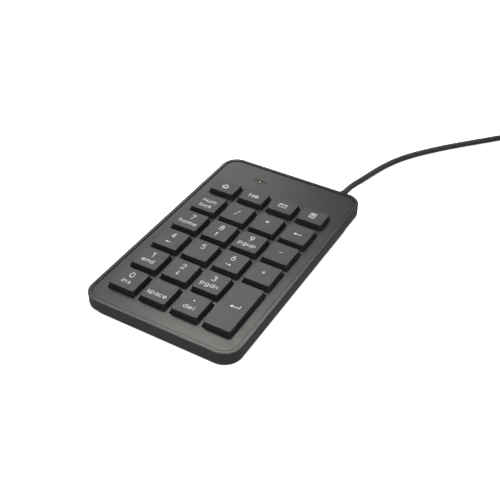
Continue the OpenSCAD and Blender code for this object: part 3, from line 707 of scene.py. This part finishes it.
def almond(grow, n=14):
    """Outline of the hollow round the indicator, with pointed ends."""
    a, b = 5.0 + grow * 1.6, 1.4 + grow
    r = (a * a + b * b) / (2 * b)
    half = math.asin(a / r)
    pts = []
    for k in range(n):
        t = half - 2 * half * k / n
        pts.append((LENS[0] + r * math.sin(t), LENS[1] - (r - b) + r * math.cos(t)))
    for k in range(n):
        t = -half + 2 * half * k / n
        pts.append((LENS[0] + r * math.sin(t), LENS[1] + (r - b) - r * math.cos(t)))
    return pts


def top_cover():
    f = Form()
    n = 14

    def out(inset, z, e=0.0):
        return f.loop(rect(W - 2 * inset, L - 2 * inset, max(CORNER - inset, 0.5), 0, 0, n), z, e)
    rows = [out(WALL, DECK_IN), out(WALL, SHELL_Z + 0.15), out(WALL - 0.15, SHELL_Z), out(0.3, SHELL_Z), out(0.09, SHELL_Z + 0.09, 0.8), out(0, SHELL_Z + 0.3)]
    # the rim's outer edge is crisp, and its top is slightly crowned
    low = RIM_Z - CROWN
    rows.append(out(0, low - FILLET))
    for k in range(1, 7):
        a = math.pi / 2 * k / 6
        rows.append(out(FILLET * (1 - math.cos(a)), low - FILLET + FILLET * math.sin(a), (0.0 if k == 6 else math.sin(2 * a) * 0.8)))
    for k in range(1, 5):
        q = k / 4
        rows.append(out(FILLET + (CREST - FILLET) * q, RIM_Z - CROWN * (1 - q) ** 2))
    # the step down to the deck leans a little, and ends in a fine groove
    foot = RIM_W - 0.02
    rows += [out(RIM_W - 0.34, RIM_Z), out(RIM_W - 0.27, RIM_Z - 0.06, 0.5), out(foot - 0.02, DECK_Z - 0.06), out(foot, DECK_Z - 0.15), out(foot + 0.34, DECK_Z - 0.15)]
    rows += [out(foot + 0.36, DECK_Z - 0.09), out(foot + 0.40, DECK_Z - 0.03, 0.4), out(foot + 0.50, DECK_Z)]
    f.skin(*rows)
    holes_top, holes_under = [], []
    for key in KEYS:
        klo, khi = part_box(key)
        cx, cy = mid_mm(key)
        w, d = (khi.x - klo.x) / MM + 0.5, (khi.y - klo.y) / MM + 0.5
        b2 = 0.22
        ls = [f.loop(rect(w + 2 * b2, d + 2 * b2, 0.9 + b2, cx, cy, 5), DECK_Z)]
        for k in range(1, 4):
            a = math.pi / 2 * k / 3
            ls.append(f.loop(rect(w + 2 * b2 * (1 - math.sin(a)), d + 2 * b2 * (1 - math.sin(a)), 0.9 + b2 * (1 - math.sin(a)), cx, cy, 5), DECK_Z - b2 * (1 - math.cos(a)), 0.0 if k == 3 else 0.7))
        ls.append(f.loop(rect(w, d, 0.9, cx, cy, 5), DECK_IN))
        f.skin(*ls)
        holes_top.append(ls[0])
        holes_under.append(ls[-1])
    # the hollow round the indicator, and the lens hole
    ls = [f.loop(almond(0.12), DECK_Z), f.loop(almond(0.04), DECK_Z - 0.04, 0.6), f.loop(almond(0.0), DECK_Z - 0.12, 0.2), f.loop(almond(-0.10), DECK_Z - 0.4)]
    f.skin(*ls)
    holes_top.append(ls[0])
    lens_top = f.loop(ring(*LENS, 1.06, 28), DECK_Z - 0.4)
    f.fill(ls[-1], lens_top)
    lens_low = f.loop(ring(*LENS, 1.06, 28), DECK_IN)
    f.skin(lens_top, lens_low)
    holes_under.append(lens_low)
    f.fill(rows[-1], *holes_top)
    f.fill(rows[0], *holes_under)
    ob = f.done("upper_shell", "shell_plastic", None, angle=38)
    return ob


def cut(ob, cutter):
    """Takes the cutter's mesh out of ob's, for good."""
    m = ob.modifiers.new("cut", "BOOLEAN")
    m.operation = "DIFFERENCE"
    m.solver = "EXACT"
    m.object = cutter
    while ob.modifiers.find("cut") > 0:
        ob.modifiers.move(ob.modifiers.find("cut"), 0)
    others = [x for x in ob.modifiers if x != m]
    for x in others:
        x.show_viewport = False
    bpy.context.view_layer.update()
    me = bpy.data.meshes.new_from_object(ob.evaluated_get(bpy.context.evaluated_depsgraph_get()))
    ob.modifiers.remove(m)
    for x in others:
        x.show_viewport = True
    old = ob.data
    name = old.name
    ob.data = me
    bpy.data.meshes.remove(old)
    me.name = name
    cm = cutter.data
    bpy.data.objects.remove(cutter)
    bpy.data.meshes.remove(cm)


def cutter_y(x, z, r, y0, y1):
    f = Form()
    f.lathe([(r, y0), (r, y1)], at=(x, 0, z), axis="y", n=40)
    bmesh.ops.recalc_face_normals(f.bm, faces=f.bm.faces[:])
    me = bpy.data.meshes.new("cutter")
    f.bm.to_mesh(me)
    f.bm.free()
    ob = bpy.data.objects.new("cutter", me)
    scene.collection.objects.link(ob)
    return ob


shell = top_cover()
cut(shell, cutter_y(OUT_X, OUT_Z, 2.36, 68.0, 76.0))
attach(shell, "housing")
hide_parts("top_cover")


# ------------------------------------------------------------------ lower tray
CASE = [(-37.5, -67), (37.5, -67), (-39.6, 12.9), (39.6, 12.9), (-38.2, 58.2), (38.2, 58.2)]
FEET = [(-26, -64), (26, -64), (-26, 63), (26, 63)]
TRAY_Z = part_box("base_cover")[0].z / MM
FLOOR_IN = TRAY_Z + 1.2
FOOT_TOP = TRAY_Z + 0.7


def stadium(cx, cy, half, r, n=8):
    pts = []
    for s, a0 in ((1, -90), (-1, 90)):
        for k in range(n + 1):
            a = math.radians(a0 + 180 * k / n)
            pts.append((cx + s * half + r * math.cos(a), cy + r * math.sin(a)))
    return pts


def base_cover():
    f = Form()
    w, l = W - 2.4, L - 3.6
    n = 12

    def out(inset, z, rf, rr, e=0.0):
        return f.loop(rect(w - 2 * inset, l - 2 * inset, rf, 0, 0, n, rear=rr), z, e)
    rows = [out(1.2, FLOOR_IN, 7, 18.7), out(1.2, 6.0, 7, 18.7), out(0.9, 6.0, 7.4, 7.5), out(0.9, SHELL_Z, 7.4, 7.5), out(0.15, SHELL_Z, 9.8, 8.3),
            out(0.0, SHELL_Z - 0.15, 9.9, 8.4, 0.5), out(0.0, 3.2, 9.9, 8.4), out(0.04, 3.14, 10.0, 12.0, 0.5), out(0.05, 3.1, 10.0, 21.4), out(0.05, TRAY_Z + 0.3, 10.0, 21.4)]
    for k in range(1, 5):
        a = math.pi / 2 * k / 4
        rows.append(out(0.05 + 0.3 * (1 - math.cos(a)), TRAY_Z + 0.3 - 0.3 * math.sin(a), 10.0 - 0.3 * (1 - math.cos(a)), 21.4 - 0.3 * (1 - math.cos(a)), 0.0 if k == 4 else 0.5))
    f.skin(*rows)
    under, floor_ = [], []
    for x, y in CASE:
        ls = [f.loop(ring(x, y, 2.55, 28), TRAY_Z), f.loop(ring(x, y, 2.4, 28), TRAY_Z + 0.15, 0.5), f.loop(ring(x, y, 2.4, 28), 2.2), f.loop(ring(x, y, 1.2, 28), 2.2),
              f.loop(ring(x, y, 1.2, 28), 3.4), f.loop(ring(x, y, 2.7, 28), 3.4), f.loop(ring(x, y, 2.7, 28), FLOOR_IN)]
        f.skin(*ls)
        under.append(ls[0])
        floor_.append(ls[-1])
    for x, y in FEET:
        ls = [f.loop(stadium(x, y, 4, 3.3), TRAY_Z), f.loop(stadium(x, y, 4, 3.15), TRAY_Z + 0.12, 0.5), f.loop(stadium(x, y, 4, 3.15), FOOT_TOP)]
        f.skin(*ls)
        f.cap(ls[-1])
        under.append(ls[0])
    f.fill(rows[-1], *under)
    inner = rows[0]
    f.fill(inner, *[h for h in floor_])
    return f.done("lower_tray", "tray_plastic", None, angle=38)


tray = base_cover()
cut(tray, cutter_y(OUT_X, OUT_Z, 2.36, 68.0, 76.0))
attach(tray, "housing")
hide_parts("base_cover")


def feet():
    f = Form()
    for x, y in FEET:
        prof = [(2.95, FOOT_TOP), (2.95, 0.3), (2.85, 0.1), (2.6, 0.0)]
        ls = [f.loop(stadium(x, y, 4, r), z, e) for (r, z), e in zip(prof, (0, 0.3, 1.0, 0.4))]
        f.skin(*ls)
        f.cap(ls[0])
        # shallow grip grooves across the sole
        inner = f.loop(stadium(x, y, 4, 2.0), 0.0, 0.1)
        dip = f.loop(stadium(x, y, 4, 1.85), 0.12, 0.0)
        f.skin(ls[-1], inner, dip)
        f.cap(dip)
    ob = f.done("feet", "foot_rubber", "housing")
    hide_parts("rubber_feet")


feet()


def screws(name, spots, z, head_r, head_h, shank_r, shank_l, up, material, node):
    """Pan-head screws with a cross recess: up is +1 where the head is below."""
    f = Form()
    for x, y in spots:
        s = up
        n = 32
        # head outline rises from the driving face to the shank
        rows = []
        cross = []
        for k in range(n):
            a = 2 * math.pi * k / n
            q = abs(math.cos(2 * a))
            r = head_r * (0.20 + 0.36 * max(0.0, (q - 0.80) / 0.20))
            cross.append((x + r * math.cos(a), y + r * math.sin(a)))
        deep = [(x + (px - x) * 0.55, y + (py - y) * 0.55) for px, py in cross]
        low = f.loop(deep, z + s * head_h * 0.62)
        mouth = f.loop(cross, z, 0.6)
        f.cap(low)
        rows = [low, mouth, f.loop(ring(x, y, head_r * 0.80, n), z), f.loop(ring(x, y, head_r * 0.95, n), z + s * head_h * 0.12, 0.6),
                f.loop(ring(x, y, head_r, n), z + s * head_h * 0.35, 0.4), f.loop(ring(x, y, head_r, n), z + s * head_h), f.loop(ring(x, y, shank_r, n), z + s * head_h)]
        turns = max(2, int(shank_l / 0.8))
        for k in range(turns):
            z0 = z + s * (head_h + 0.3 + (shank_l - 0.8) * k / turns)
            step = s * (shank_l - 0.8) / turns
            rows += [f.loop(ring(x, y, shank_r * 0.80, n), z0), f.loop(ring(x, y, shank_r, n), z0 + step * 0.5, 0.5)]
        rows += [f.loop(ring(x, y, shank_r * 0.8, n), z + s * (head_h + shank_l - 0.4)), f.loop(ring(x, y, shank_r * 0.3, n), z + s * (head_h + shank_l))]
        f.skin(*rows)
        f.cap(rows[-1])
    ob = f.done(name, material, "housing")
    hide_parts(node)


screws("screws_case", CASE, 1.0, 2.0, 1.2, 1.0, 5.8, 1, "screw_steel_black", "case_screws")
screws("screws_frame", [(x, y) for x in (-39.4, 39.4) for y in (-44, -6, 33)], 5.3, 1.6, 0.9, 0.8, 2.4, 1, "screw_steel", "frame_screws")
screws("screws_board", [(-28.2, 65.3), (9.5, 65.3)], 5.2, 1.7, 1.0, 0.8, 2.4, -1, "screw_steel", "board_screws")


# ------------------------------------------------------------------ indicator lens and the domes under the keys
def lens():
    f = Form()
    x, y = LENS
    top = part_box("indicator_lens")[1].z / MM
    f.lathe([(1.0, 5.6), (1.0, 6.8), (1.6, 6.8), (1.6, 7.6), (1.0, 7.6), (1.0, top - 0.22), (0.94, top - 0.12, 0.5), (0.78, top - 0.04, 0.3), (0.5, top - 0.01), (0.15, top)], at=(x, y, 0), n=36)
    ob = f.done("lens", "lens_clear", "housing", angle=40)
    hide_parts("indicator_lens")


lens()

DOME_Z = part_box("rubber_domes")[0].z / MM
DOME_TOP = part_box("rubber_domes")[1].z / MM
first = True
for key in KEYS:
    cx, cy = mid_mm(key)
    f = Form()
    h = DOME_TOP - DOME_Z
    outer = [(4.15, 0.0), (4.2, 0.2, 0.3), (4.15, 0.4), (3.9, 0.46), (3.5, 0.62), (3.1, 1.0), (2.7, 1.45), (2.35, 1.8), (2.2, 2.0), (2.18, h - 0.2), (2.1, h - 0.06, 0.5), (1.9, h), (1.1, h), (1.0, h - 0.25), (0.3, h - 0.3)]
    inner = [(0.3, 1.5), (1.3, 1.5), (1.45, 1.45), (1.9, 1.4), (2.5, 0.8), (3.0, 0.3), (3.2, 0.0)]
    rows = []
    for p in outer + inner:
        rows.append(f.loop(ring(cx, cy, p[0], 28), DOME_Z + p[1], p[2] if len(p) > 2 else 0.0))
    n1 = len(outer)
    f.skin(*rows[:n1])
    f.cap(rows[n1 - 1])
    f.skin(*rows[n1:])
    f.cap(rows[n1])
    f.skin(rows[-1], rows[0])
    ob = f.done("dome_" + key, "dome_silicone", None)
    ob.modifiers.clear()
    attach(ob, "housing")
    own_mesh(ob)
    if first:
        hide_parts("rubber_domes")
        first = False


# ------------------------------------------------------------------ cable
D = 3.6
LIE = 1.85
ROUTE = [(30, 73.5, 5.6), (30, 78.6, 5.6), (30.2, 84, 5.5), (30.9, 91, 4.9), (31.8, 99, 3.4), (33.3, 109, 2.1),
         (36, 119.5, 1.85), (39.3, 128.5, 1.85), (43.1, 136.5, 1.85), (47.6, 144, 1.85), (53.8, 152.6, 1.85),
         (62, 162.8, 1.85), (71, 173, 1.85), (80, 182.8, 1.85), (89, 192.6, 1.85), (96.5, 200.8, 1.85), (103.5, 208.7, 1.85)]
TAIL = [(148.3, 191.6, 5.5), (148.3, 186, 5.3), (148.2, 180.5, 4.8), (148.1, 175, 4.3), (148, 170, 4)]
COIL = (122.5, 191.6)


def catmull(pts, steps):
    out = []
    for i in range(len(pts) - 1):
        a, b, c, d = (Vector(pts[max(0, min(len(pts) - 1, k))]) for k in (i - 1, i, i + 1, i + 2))
        for s in range(steps):
            t = s / steps
            out.append(0.5 * (2 * b + (c - a) * t + (2 * a - 5 * b + 4 * c - d) * t * t + (3 * b - a - 3 * c + d) * t ** 3))
    out.append(Vector(pts[-1]))
    return out


def coil_points():
    p0 = Vector(ROUTE[-1])
    r0 = math.hypot(p0.x - COIL[0], p0.y - COIL[1])
    a0 = math.degrees(math.atan2(p0.y - COIL[1], p0.x - COIL[0]))
    total = a0 + 360 * 6
    r_in = r0 - 3.8 * 3
    pts = []
    steps = int(total / 7.5)
    for k in range(1, steps):
        th = total * k / steps
        if th <= 1080:
            r, z = r0 - 3.8 * th / 360, 0.0
        elif th <= 1200:
            s = (th - 1080) / 120
            r, z = r_in, 3.65 * s * s * (3 - 2 * s)
        else:
            s = (th - 1200) / (total - 1200)
            r, z = r_in + (25.8 - r_in) * s, 3.65
        a = math.radians(a0 - th)
        x, y = COIL[0] + r * math.cos(a), COIL[1] + r * math.sin(a)
        # the turns ride up over the strap that holds them
        lift = 0.0
        if y > COIL[1]:
            lift = 0.62 * max(0.0, math.cos(math.pi / 2 * min(1.0, max(0.0, abs(x - COIL[0]) - 2.0) / 9))) ** 2
        pts.append(Vector((x, y, LIE + z + lift)))
    return pts


def cable():
    pts = catmull(ROUTE, 5) + coil_points() + catmull(TAIL, 5)
    cu = bpy.data.curves.new("cable", "CURVE")
    cu.dimensions = "3D"
    cu.resolution_u = 1
    cu.bevel_depth = D / 2 * MM
    cu.bevel_resolution = 5
    cu.use_fill_caps = True
    sp = cu.splines.new("POLY")
    sp.points.add(len(pts) - 1)
    for p, v in zip(sp.points, pts):
        p.co = (v.x * MM, v.y * MM, v.z * MM, 1)
    sp.use_smooth = True
    cu.materials.append(M["cable_jacket"])
    ob = bpy.data.objects.new("cable", cu)
    scene.collection.objects.link(ob)
    length = sum((b - a).length for a, b in zip(pts, pts[1:])) * MM
    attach(ob, "housing")
    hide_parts("usb_cable", "usb_cable_coil")
    return ob, length


cord, cord_length = cable()


def relief():
    """Strain relief: a grommet in the wall and a short ribbed boot."""
    f = Form()
    y0 = L / 2
    rows = [(1.84, y0 - 3.5), (2.6, y0 - 3.5), (2.72, y0 - 3.42, 0.4), (2.72, y0 - 3.1), (2.3, y0 - 3.05), (2.3, y0 + 0.2), (2.7, y0 + 0.22), (2.76, y0 + 0.4, 0.6), (2.76, y0 + 0.9)]
    y = y0 + 1.0
    for k in range(4):
        r = 2.62 - 0.09 * k
        rows += [(r - 0.16, y + 0.06), (r - 0.16, y + 0.34), (r, y + 0.44, 0.5), (r - 0.02, y + 0.86, 0.5)]
        y += 0.92
    rows += [(2.15, y + 0.2), (2.05, y0 + 5.0 - 0.05, 0.5), (1.84, y0 + 5.0)]
    f.lathe(rows + [rows[0]], at=(OUT_X, 0, OUT_Z), axis="y", n=36, close=False)
    ob = f.done("boot", "relief_rubber", "housing", angle=40)
    bm = bmesh.new()
    bm.from_mesh(ob.data)
    bmesh.ops.remove_doubles(bm, verts=bm.verts[:], dist=1e-7)
    bm.to_mesh(ob.data)
    bm.free()
    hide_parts("strain_relief")
    return ob


boot = relief()


def strap():
    """Hook-and-loop strap round the coil, with a lapped end."""
    f = Form()
    cx = COIL[0]
    lo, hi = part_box("cable_tie")
    y0, y1, z1 = lo.y / MM, hi.y / MM, hi.z / MM
    t = 0.5
    # outline of the loop in the y-z plane: outer and inner rounded rectangles
    n = 8
    hw = 2.4
    oc = ((y0 + y1) / 2, z1 / 2)
    outer = rect(y1 - y0 - 0.1, z1 - 0.02, 1.6, oc[0], oc[1], n)
    inner = rect(y1 - y0 - 0.1 - 2 * t, z1 - 0.02 - 2 * t, 1.1, oc[0], oc[1], n)

    def row(pts, x, e=0.0):
        return f.loop([(x, p[0], p[1]) for p in pts], edge=e)
    a = [row(inner, cx - hw), row(outer, cx - hw + 0.0, 0.4), row(outer, cx - hw * 0.5), row(outer, cx + hw * 0.5), row(outer, cx + hw, 0.4), row(inner, cx + hw), row(inner, cx)]
    f.skin(*a)
    f.skin(a[-1], a[0])
    ob = f.done("strap", "tie_strap", "housing", angle=50)
    # lapped end on the outside
    g = Form()
    z_top = z1 - 0.02
    rows = []
    steps = 8
    for k in range(steps + 1):
        s = k / steps
        y = oc[0] - 4.5 + 9.0 * s
        lift = 0.42 if s < 0.85 else 0.42 * (1 - (s - 0.85) / 0.15 * 0.5)
        rows.append(g.loop([(cx - hw + 0.1, y, z_top - 0.05), (cx + hw - 0.1, y, z_top - 0.05), (cx + hw - 0.1, y, z_top + lift), (cx - hw + 0.1, y, z_top + lift)]))
    g.skin(*rows)
    g.cap(rows[0])
    g.cap(rows[-1])
    lap = g.done("strap_end", "tie_strap", "housing", angle=50)
    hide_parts("cable_tie")
    return ob, lap


strap_obj, lap_obj = strap()


# ------------------------------------------------------------------ plug
PX, PY, PZ = 148.0, 170.0, 4.0


def xz_rect(w, h, r, y, n=6, cx=PX, cz=PZ):
    return [(p[0], y, p[1]) for p in rect(w, h, min(r, w / 2 - 0.01, h / 2 - 0.01), cx, cz, n)]


def grip():
    f = Form()
    rows = []
    # ribbed boot from the cable's end
    y = PY
    rows.append(f.loop(xz_rect(3.72, 3.72, 1.86, y)))
    rows.append(f.loop(xz_rect(4.5, 4.5, 2.25, y - 0.1), edge=0.5))
    for k in range(5):
        a = 4.9 + 0.42 * k
        y0 = PY - 0.6 - 1.7 * k
        rows.append(f.loop(xz_rect(a - 0.1, a - 0.1, a / 2, y0)))
        rows.append(f.loop(xz_rect(a, a, a / 2, y0 - 0.2), edge=0.5))
        rows.append(f.loop(xz_rect(a + 0.1, a + 0.1, a / 2, y0 - 1.0), edge=0.5))
        rows.append(f.loop(xz_rect(a - 0.45, a - 0.45, a / 2, y0 - 1.15)))
        rows.append(f.loop(xz_rect(a - 0.4, a - 0.4, a / 2, y0 - 1.55)))
    # shoulder and body, with a waist for the fingers
    body = [(10.0, 7.0, 6.2, 3.0), (10.35, 9.6, 7.0, 3.0), (10.9, 12.4, 7.5, 2.8), (11.7, 14.2, 7.8, 2.5), (13.0, 15.1, 7.9, 2.3), (15.5, 15.3, 7.9, 2.1), (19.0, 15.0, 7.7, 2.1), (24.0, 15.0, 7.7, 2.0),
            (28.0, 15.3, 7.9, 1.9), (31.0, 15.5, 7.94, 1.8), (33.3, 15.5, 7.94, 1.7), (33.75, 15.3, 7.8, 1.6), (34.0, 14.8, 7.3, 1.3)]
    for yy, w, h, r in body:
        rows.append(f.loop(xz_rect(w, h, r, PY - yy), edge=0.6 if yy in (33.75, 11.7) else 0.0))
    rows.append(f.loop(xz_rect(12.1, 4.6, 0.6, PY - 34.0)))
    f.skin(*rows)
    f.cap(rows[0])
    f.cap(rows[-1])
    ob = f.done("grip", "plug_vinyl", "housing", angle=42)
    # grip ridges on both faces
    g = Form()
    for s in (-1, 1):
        for k in range(6):
            yc = PY - 17.0 - 2.0 * k
            z0, z1 = PZ + s * 3.6, PZ + s * 3.97
            a, b = min(z0, z1), max(z0, z1)
            g.box(PX - 4.6, yc - 0.4, a, PX + 4.6, yc + 0.4, b, 0.38, 4, 0.12)
    ridges = g.done("grip_ridges", "plug_vinyl", "housing", angle=42)
    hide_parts("plug_grip")
    return ob, ridges


grip_obj, ridge_obj = grip()


def block(x0, x1, y0, y1, z0, z1):
    f = Form()
    f.box(x0, y0, z0, x1, y1, z1)
    bmesh.ops.recalc_face_normals(f.bm, faces=f.bm.faces[:])
    me = bpy.data.meshes.new("cutter")
    f.bm.to_mesh(me)
    f.bm.free()
    ob = bpy.data.objects.new("cutter", me)
    scene.collection.objects.link(ob)
    return ob


def usb_shell():
    f = Form()
    y1 = PY - 34.0
    y0 = y1 - 18.7
    ro, ri = 0.75, 0.45
    rows = [f.loop(xz_rect(12.0, 4.5, ro, y1 - 0.0)), f.loop(xz_rect(12.0, 4.5, ro, y0 + 0.35)), f.loop(xz_rect(11.9, 4.4, ro, y0 + 0.08), edge=1.0), f.loop(xz_rect(11.7, 4.2, 0.6, y0), edge=0.6),
            f.loop(xz_rect(11.45, 3.95, ri, y0 + 0.08)), f.loop(xz_rect(11.4, 3.9, ri, y0 + 0.3)), f.loop(xz_rect(11.4, 3.9, ri, y1))]
    f.skin(*rows)
    f.skin(rows[-1], rows[0])
    ob = f.done("shell_usb", "plug_steel", None, angle=40)
    for s in (-1, 1):
        cut(ob, block(PX + s * 2.6 - 1.1, PX + s * 2.6 + 1.1, y0 + 6.1, y0 + 8.3, -1, 9))
    # seam along the underside
    cut(ob, block(PX - 0.05, PX + 0.05, y0 - 1, y1 + 1, 1.2, 1.99))
    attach(ob, "housing")
    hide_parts("plug_shell")
    return ob


usb = usb_shell()


def tongue():
    f = Form()
    y1 = PY - 34.0
    y0 = y1 - 18.7
    f.box(PX - 5.6, y0 + 0.6, PZ - 1.9, PX + 5.6, y1, PZ, 0.2, 2, 0.1)
    f.box(PX - 5.6, y1 - 6, PZ - 1.88, PX + 5.6, y1 - 0.02, PZ + 1.9, 0.2, 2, 0.1)
    ob = f.done("tongue", "plug_nylon", "housing")
    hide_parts("plug_insulator")
    g = Form()
    for x in (-3.5, -1, 1, 3.5):
        a = y0 + (1 if abs(x) > 2 else 2)
        g.box(PX + x - 0.5, a, PZ - 0.02, PX + x + 0.5, y1 - 6, PZ + 0.12, 0.2, 3, 0.05)
    pins = g.done("pins", "contact_gold", "housing")
    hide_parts("plug_contacts")
    return ob, pins


tongue_obj, pins_obj = tongue()

print("cord length", round(cord_length, 4))


# ------------------------------------------------------------------ floor and light
floor_mesh = bpy.data.meshes.new("floor")
S = 3.0
floor_mesh.from_pydata([(-S, -S, 0), (S, -S, 0), (S, S, 0), (-S, S, 0)], [], [(0, 1, 2, 3)])
floor = bpy.data.objects.new("floor", floor_mesh)
scene.collection.objects.link(floor)
fm, ft, fb = new_material("floor")
fb.inputs["Base Color"].default_value = (0.93, 0.93, 0.93, 1)
fb.inputs["Roughness"].default_value = 0.9
fb.inputs["Specular IOR Level"].default_value = 0.1
fb.inputs["Emission Color"].default_value = (1.0, 1.0, 1.0, 1)
fb.inputs["Emission Strength"].default_value = 0.80     # a light table: the photograph's ground is white right up to the housing
floor_mesh.materials.append(fm)
floor.visible_glossy = False     # the housing's sides mirror the dim studio, as they do in the photograph

world = bpy.data.worlds.new("studio")
scene.world = world
world.use_nodes = True
wt = world.node_tree
wt.nodes.clear()
bg = wt.nodes.new("ShaderNodeBackground")
bg.inputs["Color"].default_value = (1, 1, 1, 1)
bg.inputs["Strength"].default_value = 0.20
wo = wt.nodes.new("ShaderNodeOutputWorld")
# low down, the studio is paler in front and to the left than behind: only glossy surfaces see this part
ways = wt.nodes.new("ShaderNodeTexCoord").outputs["Generated"]
dot = wt.nodes.new("ShaderNodeVectorMath")
dot.operation = "DOT_PRODUCT"
dot.inputs[1].default_value = (-0.5, -0.866, 0.0)
wt.links.new(ways, dot.inputs[0])
parts = wt.nodes.new("ShaderNodeSeparateXYZ")
wt.links.new(ways, parts.inputs[0])
under = span(wt, parts.outputs["Z"], -0.25, -0.05, 1.0, 0.0)
low_glow = span(wt, dot.outputs["Value"], -0.77, 0.77, 0.24, 0.36)
wt.links.new(maths(wt, "ADD", maths(wt, "MULTIPLY", low_glow, under), maths(wt, "MULTIPLY", maths(wt, "SUBTRACT", 1.0, under), 0.20)), bg.inputs["Strength"])
wt.links.new(bg.outputs["Background"], wo.inputs["Surface"])


def softbox(name, around, up, away, size, power):
    """A square soft light: around is its bearing from the rear towards the left, and up its height, in degrees."""
    li = bpy.data.lights.new(name, "AREA")
    li.shape = "RECTANGLE"
    li.size = li.size_y = size
    li.energy = power
    ob = bpy.data.objects.new(name, li)
    scene.collection.objects.link(ob)
    a, e = math.radians(around), math.radians(up)
    ob.location = away * Vector((-math.sin(a) * math.cos(e), math.cos(a) * math.cos(e), math.sin(e)))
    ob.rotation_euler = (-ob.location).to_track_quat("-Z", "Y").to_euler()
    return ob


softbox("fill", 180, 50, 1.0, 0.8, 1.35)
softbox("right_front", 235, 28, 0.38, 0.2, 0.35)
# soft strips behind and to the left give the tops their sheen, and the rim its lighter edge
for bearing, height, size, power in ((0, 56, 0.14, 0.55), (15, 56, 0.14, 0.08), (30, 28, 0.14, 0.16), (30, 56, 0.14, 0.31),
                                     (45, 28, 0.14, 0.11), (45, 56, 0.14, 0.52), (90, 58, 0.20, 1.05)):
    softbox("strip_%d_%d" % (bearing, height), bearing, height, 0.55, size, power)

scene.view_settings.view_transform = "Standard"
scene.view_settings.look = "None"
